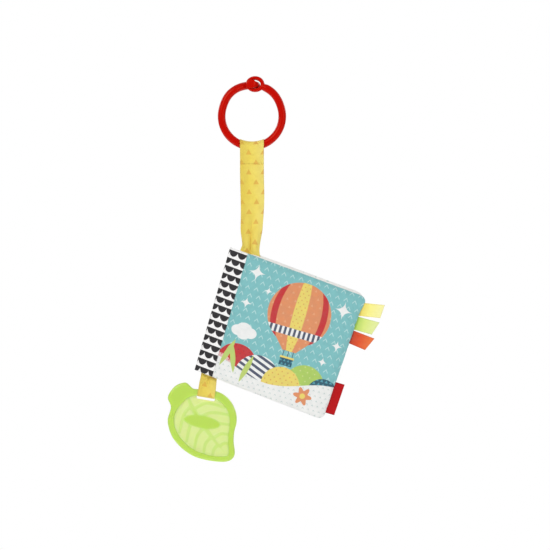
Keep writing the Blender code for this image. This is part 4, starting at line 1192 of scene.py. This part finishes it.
FRONT_CORNER_OUT = 1.9
front_panel = cover_leaf(
    "front", "front_cover", FRONT_SEAM, -1, cover_finish, 5.0, 0.0, FRONT_CORNER_OUT, 31.0)

# Ribbon tabs. Three short lengths of satin ribbon, each folded into a flat loop with both ends caught
# in the front cover's fore edge: yellow, lime and orange from the top down, the lower two on a slant.
RIBBON_WIDTH = 13.0
RIBBON_T = 0.32
RIBBON_PITCH = 13.9
FIRST_DROP = 12.2
RIBBON_FOLD_R = 0.85
RIBBON_ROOT_HALF = 0.3
RIBBON_TUCK = 1.2
RIBBON_STRAIGHT = 0.82
RIBBON_BOW = 0.5
RIBBON_TWIST = 0.3
TAB_GAP = 0.8
FORE_RISE = COVER_HEIGHT + FOOT_FALL - TOP_FALL


def fore_point(drop):
    """Out and up of a point on the fore edge, at a drop below its top corner, in mm."""
    share = drop / FORE_RISE
    return TOP_REACH + (FOOT_REACH - TOP_REACH) * share, -TOP_FALL - FORE_RISE * share


def satin(name, colour, deep, pale, root_shadow):
    """Ribbon satin: a soft gloss with fine ribs across, with painted shade near the seam, a painted shadow at
    the root, a painted highlight towards the fold end, and deeper colour along both long edges.
    """
    finish = Finish(name, colour, 0.38, 0.35)
    finish.set("Anisotropic", 0.5)
    x, y = finish.spot()[:2]
    # Painted shade: deeper colour near the seam, fading out over about 9 mm.
    finish.lay(deep, finish.within(x, 3.0, 9.0) * 0.8)
    # Painted shadow: a narrow dark band at the root, under the cover's edge.
    finish.lay(root_shadow, finish.within(x, 0.6, 1.8) * 0.6)
    # Painted highlight: paler towards the fold end.
    finish.lay(pale, finish.beyond(x, 12.0, 10.0) * 0.6)
    # Deeper colour along both long edges, in the same colour as the painted shade.
    finish.lay(deep, finish.beyond(abs(y), RIBBON_WIDTH / 2 - 0.5, 0.3) * 0.35)
    finish.relief(finish.work("SINE", x * (2 * pi / 0.5)), 0.03)
    finish.relief(finish.mottle(5.0), 0.4)
    return finish.done()


# Each ribbon's colours: its own colour, painted shade near the seam that also colours its long edges, painted
# highlight towards the fold end, painted shadow at the root.
for number, (name, length, slant, lift, colours, flat_length) in enumerate((
    ("yellow_ribbon", 19.6, 0.0, 3.6, ("FFF78A", "EBCB3C", "FFFCB8", "A89A3A"), 0.040),
    ("lime_ribbon", 18.5, 1.7, 0.2, ("DEEF7E", "9CCB40", "EFF6B2", "5F9428"), 0.039),
    ("orange_ribbon", 18.0, 2.5, -1.8, ("E44A06", "B42A06", "F4843E", "6E1606"), 0.038),
)):
    drop = FIRST_DROP + number * RIBBON_PITCH

    def ribbon_place(along, across, drop=drop, middle=length, slant=slant, lift=lift, number=number):
        """Out along the front, round the fold and back to the seam."""
        side = -1 if along < 0.5 else 1
        run = 1 - abs(2 * along - 1)
        length = middle + slant * across
        half = RIBBON_ROOT_HALF + (RIBBON_FOLD_R - RIBBON_ROOT_HALF) * ease(run, 0, 0.45)
        if run < RIBBON_STRAIGHT:
            out = -RIBBON_TUCK + run / RIBBON_STRAIGHT * (length - RIBBON_FOLD_R + RIBBON_TUCK)
            y = side * half
        else:
            angle = pi / 2 * (run - RIBBON_STRAIGHT) / (1 - RIBBON_STRAIGHT)
            out = length - RIBBON_FOLD_R + RIBBON_FOLD_R * sin(angle)
            y = side * RIBBON_FOLD_R * cos(angle)
        bow = RIBBON_BOW * sin(max(out, 0) / length * pi) * (1 - 0.4 * number)
        bow -= RIBBON_TWIST * across * ease(out / length)
        edge_out, edge_up = fore_point(drop - across * RIBBON_WIDTH / 2)
        up = edge_up + lift * max(out, 0) / length
        return on_book(edge_out + TAB_GAP + out, FRONT_SEAM + y - bow, up), (out, across * RIBBON_WIDTH / 2)

    ribbon = cloth(name + "_satin", 72, 20, ribbon_place, RIBBON_T * MM, satin(name + "_satin", *colours))
    stand_in(ribbon, name, name.replace("_ribbon", "_tab"))

# Side label. A plain red woven label, folded over on itself and caught in the fore edge near its foot.
LABEL_HEIGHT = 30.6
LABEL_REACH = 8.0
LABEL_RISE = 22.3
LABEL_FOLD_R = 0.4
LABEL_T = 0.36
LABEL_TUCK = 1.0
LABEL_STRAIGHT = 0.9
LABEL_CURL = 0.25
LABEL_EDGE_AND_ROOT_SHADE = "8E0008"
LABEL_PALE = "DB2430"
label_red = Finish("red_woven_label", "B60006", 0.7, 0.05)
label_x, label_y = label_red.spot()[:2]
# Darker along the top and bottom edges.
label_red.lay(LABEL_EDGE_AND_ROOT_SHADE, label_red.beyond(abs(label_y), LABEL_HEIGHT / 2 - 0.8, 0.3) * 0.6)
# Painted shade at the root, where the label goes into the seam.
label_red.lay(LABEL_EDGE_AND_ROOT_SHADE, label_red.within(label_x, 1.0, 2.0) * 0.6)
label_red.lay(LABEL_PALE, label_red.mottle(4.0) * 0.25)
label_red.relief(label_red.work("SINE", label_y * (2 * pi / 0.4)), 0.03)
label_red.relief(label_red.mottle(6.0), 0.3)
label_red.set("Specular IOR Level", 0.2)
label_finish = label_red.done()
label_drop = FORE_RISE - LABEL_RISE


def label_place(along, across):
    side = -1 if along < 0.5 else 1
    run = 1 - abs(2 * along - 1)
    if run < LABEL_STRAIGHT:
        out = -LABEL_TUCK + run / LABEL_STRAIGHT * (LABEL_REACH - LABEL_FOLD_R + LABEL_TUCK)
        y = side * LABEL_FOLD_R * (0.7 + 0.3 * run)
    else:
        angle = pi / 2 * (run - LABEL_STRAIGHT) / (1 - LABEL_STRAIGHT)
        out = LABEL_REACH - LABEL_FOLD_R + LABEL_FOLD_R * sin(angle)
        y = side * LABEL_FOLD_R * cos(angle)
    edge_out, edge_up = fore_point(label_drop - across * LABEL_HEIGHT / 2)
    curl = LABEL_CURL * (max(out, 0) / LABEL_REACH) ** 2 * (1 - across)
    point = on_book(edge_out + TAB_GAP + out, FRONT_SEAM + y - curl, edge_up)
    return point, (out, across * LABEL_HEIGHT / 2)


side_label = cloth("side_label_woven", 40, 32, label_place, LABEL_T * MM, label_finish)
stand_in(side_label, "side_label", "label_tab")

# Teether strap. A short piece of the same printed cotton as the hang strap, from the back cover's foot
# seam, through the leaf's slot and back, so the leaf hangs on it and can be chewed.
SHORT_BASE_WIDTH = 15.8 * MM
SHORT_WIDTH = 16.6 * MM
LEAF_T = 7.0 * MM
LEAF_EDGE = 2.4 * MM
RIM_AT_SLOT = 6.0 * MM
SHORT_TUCK = 2.0 * MM
SHORT_STAND = 0.55 * MM
SHORT_LEG_SHARE = 0.36
SHORT_ROOT_HALF = 0.3 * MM
SHORT_FOLD = 1.5 * MM
SHORT_RIPPLE = 0.4 * MM
short_base = Vector(joints["teether_strap_swings"]["pos_m"])
rim_centre = Vector(joints["teether_swings"]["pos_m"])
base_axis = Vector(joints["teether_strap_swings"]["axis"])
rim_axis = Vector(joints["teether_swings"]["axis"])
if base_axis.x < 0:
    base_axis = -base_axis
if rim_axis.x < 0:
    rim_axis = -rim_axis
rim_down = Vector((rim_axis.z, 0, -rim_axis.x))
short_finish = strap_print("short_strap_cotton_print", 0.4)
rim_wrap_r = hypot(RIM_AT_SLOT / 2 - LEAF_EDGE, LEAF_T / 2 - LEAF_EDGE) + LEAF_EDGE + SHORT_STAND


def short_place(along, across):
    """Down the front from the book's foot seam, round the leaf's rim and up behind."""
    side = -1 if along < 0.5 else 1
    run = min(along, 1 - along)
    base = short_base + across * SHORT_BASE_WIDTH / 2 * base_axis
    rim = rim_centre + across * SHORT_WIDTH / 2 * rim_axis
    length = (short_base - rim_centre).length
    if run < SHORT_LEG_SHARE:
        share = run / SHORT_LEG_SHARE * (1 + SHORT_TUCK / length) - SHORT_TUCK / length
        y = SHORT_ROOT_HALF + (rim_wrap_r - SHORT_ROOT_HALF) * ease(share, 0, 0.72)
        pinch = exp(-(across / 0.16) ** 2) - 0.6 * abs(sin(across * pi)) ** 1.5
        fold = SHORT_FOLD * pinch * (1 - ease(share, 0.3, 0.9)) * ease(share, -0.1, 0.15)
        ripple = SHORT_RIPPLE * sin(across * 7 + share * 6) * sin(max(share, 0) * pi)
        point = base.lerp(rim, share) + Vector((0, side * y + ripple + fold, 0))
        point += rumple(point * 1.4, STRAP_RUMPLE * sin(max(share, 0) * pi))
        travel = share * length
    else:
        angle = pi / 2 * (run - SHORT_LEG_SHARE) / (0.5 - SHORT_LEG_SHARE)
        swing = side * rim_wrap_r * cos(angle)
        point = rim + rim_down * rim_wrap_r * sin(angle) + Vector((0, swing, 0))
        travel = length + angle * rim_wrap_r
    return point, (across * SHORT_WIDTH / 2 / MM, side * travel / MM)


short_strap = cloth("teether_strap_tape", 90, 22, short_place, TAPE_T, short_finish)
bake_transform(short_strap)
stand_in(short_strap, "teether_strap")

# Leaf teether. One soft moulding of translucent green: a thick rim, a thin skin inside it, a midrib with
# curved veins, and a raised oval in the middle; the slot near its top takes the strap.
LEAF_WIDTH = 66.0 * MM
LEAF_HEIGHT = 75.8 * MM
SKIN_T = 2.2 * MM
SLOT_HEIGHT = 3.6 * MM
SLOT_SPARE = 0.8 * MM
VEIN_D = 5.5 * MM
MIDRIB_D = 7.0 * MM
VEIN_FLATNESS = 0.66
MIDRIB_FLATNESS = 0.62
MIDRIB_WIDEST = 0.42
MIDRIB_TAPER = 0.42
VEIN_TAPER = 0.1
OVAL_LENGTH = 34.6 * MM
OVAL_WIDTH = 11.6 * MM
OVAL_T = 4.6 * MM
OVAL_EDGE = 0.8 * MM
OVAL_STEPS = 72
OVAL_TILT = radians(11.0)
LEAF_VOXEL = 0.5 * MM
SLOT_SHARE = (0.562, 0.866)
OVAL_SHARE = (0.495, 0.505)
LEAF_OUTLINE = [
    (0.004, 0.800), (0.045, 0.893), (0.135, 0.968), (0.252, 0.998), (0.312, 0.968), (0.372, 0.921),
    (0.470, 0.913), (0.707, 0.886), (0.839, 0.827), (0.932, 0.735), (0.990, 0.607), (0.994, 0.490),
    (0.962, 0.380), (0.953, 0.250), (0.970, 0.120), (0.940, 0.045), (0.855, 0.006), (0.720, 0.004),
    (0.535, 0.029), (0.363, 0.078), (0.202, 0.175), (0.079, 0.298), (0.017, 0.430), (0.004, 0.545),
    (0.048, 0.690),
]
POCKET_OUTLINE = [
    (0.202, 0.735), (0.290, 0.806), (0.400, 0.836), (0.555, 0.820), (0.710, 0.788), (0.818, 0.712),
    (0.885, 0.616), (0.902, 0.500), (0.884, 0.350), (0.878, 0.230), (0.886, 0.115), (0.850, 0.072),
    (0.686, 0.069), (0.535, 0.097), (0.393, 0.145), (0.272, 0.221), (0.171, 0.317), (0.105, 0.430),
    (0.089, 0.535), (0.121, 0.642),
]
MIDRIB = [(0.300, 0.805), (0.352, 0.690), (0.440, 0.560), (0.560, 0.405), (0.700, 0.245), (0.829, 0.122)]
VEINS = [
    [(0.335, 0.700), (0.235, 0.590), (0.170, 0.360)],
    [(0.430, 0.570), (0.325, 0.450), (0.270, 0.245)],
    [(0.530, 0.440), (0.430, 0.330), (0.385, 0.160)],
    [(0.632, 0.318), (0.548, 0.230), (0.520, 0.110)],
    [(0.722, 0.212), (0.668, 0.160), (0.650, 0.085)],
    [(0.375, 0.660), (0.560, 0.740), (0.830, 0.680)],
    [(0.450, 0.560), (0.640, 0.620), (0.890, 0.590)],
    [(0.560, 0.420), (0.710, 0.480), (0.890, 0.470)],
    [(0.660, 0.300), (0.770, 0.355), (0.885, 0.345)],
    [(0.750, 0.200), (0.810, 0.235), (0.880, 0.232)],
]


def on_leaf(share, y=0.0):
    """A point of the leaf from shares of its width and height."""
    x = (share[0] - SLOT_SHARE[0]) * LEAF_WIDTH
    z = (share[1] - SLOT_SHARE[1]) * LEAF_HEIGHT
    return rim_centre + Vector((x, y, z))


def curve_through(points, steps, closed):
    """A smooth line through points."""
    count = len(points)
    spans = count if closed else count - 1
    line = []
    for index in range(spans):
        if closed:
            a, b, c, d = (points[(index + shift) % count] for shift in (-1, 0, 1, 2))
        else:
            a, b = points[max(index - 1, 0)], points[index]
            c, d = points[index + 1], points[min(index + 2, count - 1)]
        for step in range(steps):
            t = step / steps
            line.append(0.5 * (2 * b + (c - a) * t + (2 * a - 5 * b + 4 * c - d) * t ** 2
                               + (3 * b - a - 3 * c + d) * t ** 3))
    if not closed:
        line.append(points[-1])
    return line


def slab(name, outline, low, high, edge):
    """A flat block with a round-edged outline, from one depth to another."""
    bm = bmesh.new()
    front = [bm.verts.new(point + Vector((0, low, 0))) for point in outline]
    face = bm.faces.new(front)
    grown = bmesh.ops.extrude_face_region(bm, geom=[face])
    moved = [item for item in grown["geom"] if isinstance(item, bmesh.types.BMVert)]
    bmesh.ops.translate(bm, vec=(0, high - low, 0), verts=moved)
    bmesh.ops.recalc_face_normals(bm, faces=bm.faces)
    if edge:
        rims = [item for item in bm.edges if abs(item.verts[0].co.y - item.verts[1].co.y) < 0.1 * MM]
        bmesh.ops.bevel(bm, geom=rims, offset=edge, segments=6, profile=0.5, affect="EDGES")
    mesh = bpy.data.meshes.new(name)
    bm.to_mesh(mesh)
    bm.free()
    return placed(name, mesh)


leaf_green = Finish("leaf_soft_green", "C0E05A", 0.36, by="Object")
leaf_green.set("Subsurface Weight", 0.6)
leaf_green.set("Subsurface Radius", (0.8, 1.0, 0.3))
leaf_green.set("Subsurface Scale", 0.004)
leaf_green.set("Coat Weight", 0.15)
leaf_green.set("Coat Roughness", 0.25)
leaf_depth = abs(leaf_green.spot()[1] - rim_centre.y / MM)
leaf_green.lay("D3E78C", leaf_green.within(leaf_depth, 1.9, 0.3) * 0.85)
leaf_green.lay("E1ECA2", leaf_green.within(leaf_depth, 1.35, 0.25) * 0.95)
leaf_green.lay("C6E06C", leaf_green.mottle(11.0) * 0.2)
leaf_green.relief(leaf_green.mottle(3.0), 0.12)
leaf_green.relief(leaf_green.mottle(0.5), 0.012)
leaf_finish = leaf_green.done()

outline = curve_through([on_leaf(share) for share in LEAF_OUTLINE], 8, True)
leaf = slab("leaf_teether_moulded", outline, -LEAF_T / 2, LEAF_T / 2, LEAF_EDGE)
leaf.data.materials.append(leaf_finish)
cutters = []
pocket = curve_through([on_leaf(share) for share in POCKET_OUTLINE], 8, True)
for side in (-1, 1):
    near, far = sorted((side * SKIN_T / 2, side * LEAF_T))
    cutters.append(slab("leaf_pocket", pocket, near, far, 0))
slot_half = (SHORT_WIDTH + SLOT_SPARE) / 2
slot_ends = []
for x, z in ((-1, 0), (1, 0), (1, 1), (-1, 1)):
    drop = RIM_AT_SLOT / 2 + z * SLOT_HEIGHT
    slot_ends.append(rim_centre + rim_axis * x * slot_half + rim_down * drop)
cutters.append(slab("leaf_slot", slot_ends, -LEAF_T, LEAF_T, 0))
for cutter in cutters:
    cut = leaf.modifiers.new("cut", "BOOLEAN")
    cut.operation = "DIFFERENCE"
    cut.solver = "EXACT"
    cut.object = cutter
settle(leaf)
for cutter in cutters:
    bpy.data.objects.remove(cutter)

forms = [leaf]
midrib = curve_through([on_leaf(share) for share in MIDRIB], 10, False)
last = len(midrib) - 1
radii = [
    MIDRIB_D / 2 * (1 - MIDRIB_TAPER * abs(index / last - MIDRIB_WIDEST) / (1 - MIDRIB_WIDEST))
    for index in range(last + 1)
]
forms.append(rod("midrib", midrib, radii, leaf_finish, 20))
for number, vein in enumerate(VEINS):
    line = curve_through([on_leaf(share) for share in vein], 12, False)
    last = len(line) - 1
    radii = [VEIN_D / 2 * (1 - VEIN_TAPER * index / last) for index in range(last + 1)]
    forms.append(rod(f"vein_{number}", line, radii, leaf_finish, 16))
for rib in forms[1:]:
    flatness = MIDRIB_FLATNESS if rib.name == "midrib" else VEIN_FLATNESS
    for vert in rib.data.vertices:
        vert.co.y = rim_centre.y + (vert.co.y - rim_centre.y) * flatness
oval_turn = Matrix.Rotation(OVAL_TILT, 4, "Y")
oval_outline = []
for step in range(OVAL_STEPS):
    angle = 2 * pi * step / OVAL_STEPS
    spot = Vector((OVAL_LENGTH / 2 * cos(angle), 0, OVAL_WIDTH / 2 * sin(angle)))
    oval_outline.append(on_leaf(OVAL_SHARE) + oval_turn @ spot)
forms.append(slab("leaf_oval", oval_outline, -OVAL_T / 2, OVAL_T / 2, OVAL_EDGE))
leaf = fuse(forms, LEAF_VOXEL, 14)
stand_in(leaf, "leaf_teether", "leaf")

# Studio. A plain pale floor that glows a little, well below the hanging book; a white surround, brighter
# from above; a key light in front on the left, a weaker one on the right and two behind; and a camera
# straight in front, as for the photo.
FLOOR_Z = -1.1
FLOOR_R = 3.0
ROOM_LIGHT = 0.53
ROOM_DIM = 0.55
ROOM_BRIGHT_FROM = 0.6
LIGHTS_AIM = (0.02, 0, -0.17)
CAMERA_PLACE = (0.0219, -1.959, -0.1737)
bm = bmesh.new()
bmesh.ops.create_circle(bm, cap_ends=True, segments=96, radius=FLOOR_R)
floor_mesh = bpy.data.meshes.new("studio_floor")
bm.to_mesh(floor_mesh)
bm.free()
floor = placed("studio_floor", floor_mesh)
floor.location = (0, 0, FLOOR_Z)
floor_paint = Finish("pale_floor", "FAFAFA", 0.9, by="Object")
floor_paint.lay("F2F2F2", floor_paint.mottle(400.0) * 0.3)
floor_paint.set("Emission Color", (1, 1, 1, 1))
floor_paint.set("Emission Strength", 0.3)
floor.data.materials.append(floor_paint.done())

world = bpy.data.worlds.new("white_surround")
world.use_nodes = True
surround = world.node_tree
backdrop = surround.nodes["Background"]
backdrop.inputs["Color"].default_value = (1, 1, 1, 1)
backdrop.inputs["Strength"].default_value = 1.0
direction = add_node(surround, "ShaderNodeTexCoord")
height = add_node(surround, "ShaderNodeSeparateXYZ", {0: direction.outputs["Generated"]})
tone = add_node(surround, "ShaderNodeValToRGB", {0: height.outputs["Z"]})
tone.color_ramp.elements[0].position = 0.0
tone.color_ramp.elements[0].color = (ROOM_DIM, ROOM_DIM, ROOM_DIM, 1)
tone.color_ramp.elements[1].position = ROOM_BRIGHT_FROM
room = add_node(surround, "ShaderNodeBackground", {"Color": tone.outputs[0], "Strength": ROOM_LIGHT})
seen = add_node(surround, "ShaderNodeLightPath")
both = add_node(surround, "ShaderNodeMixShader", {
    0: seen.outputs["Is Camera Ray"], 1: room.outputs[0], 2: backdrop.outputs[0]})
surround.links.new(both.outputs[0], surround.nodes["World Output"].inputs["Surface"])
bpy.context.scene.world = world

for name, place, power, size in (
    ("key_light", (-0.9, -1.5, 0.8), 15.5, 0.7),
    ("fill_light", (1.3, -1.3, 0.1), 6.5, 0.8),
    ("back_light_left", (-1.5, 1.4, 0.7), 8.5, 0.8),
    ("back_light_right", (1.5, 1.4, 0.7), 8.5, 0.8),
):
    light = bpy.data.lights.new(name, "AREA")
    light.energy = power
    light.size = size
    lamp = placed(name, light)
    lamp.location = place
    lamp.rotation_euler = (Vector(LIGHTS_AIM) - Vector(place)).to_track_quat("-Z", "Y").to_euler()

camera_data = bpy.data.cameras.new("photo_camera")
camera_data.lens = 135
camera_data.sensor_width = 36
camera = placed("photo_camera", camera_data)
camera.location = CAMERA_PLACE
camera.rotation_euler = (pi / 2, 0, 0)
bpy.context.scene.camera = camera
bpy.context.scene.view_settings.view_transform = "Standard"
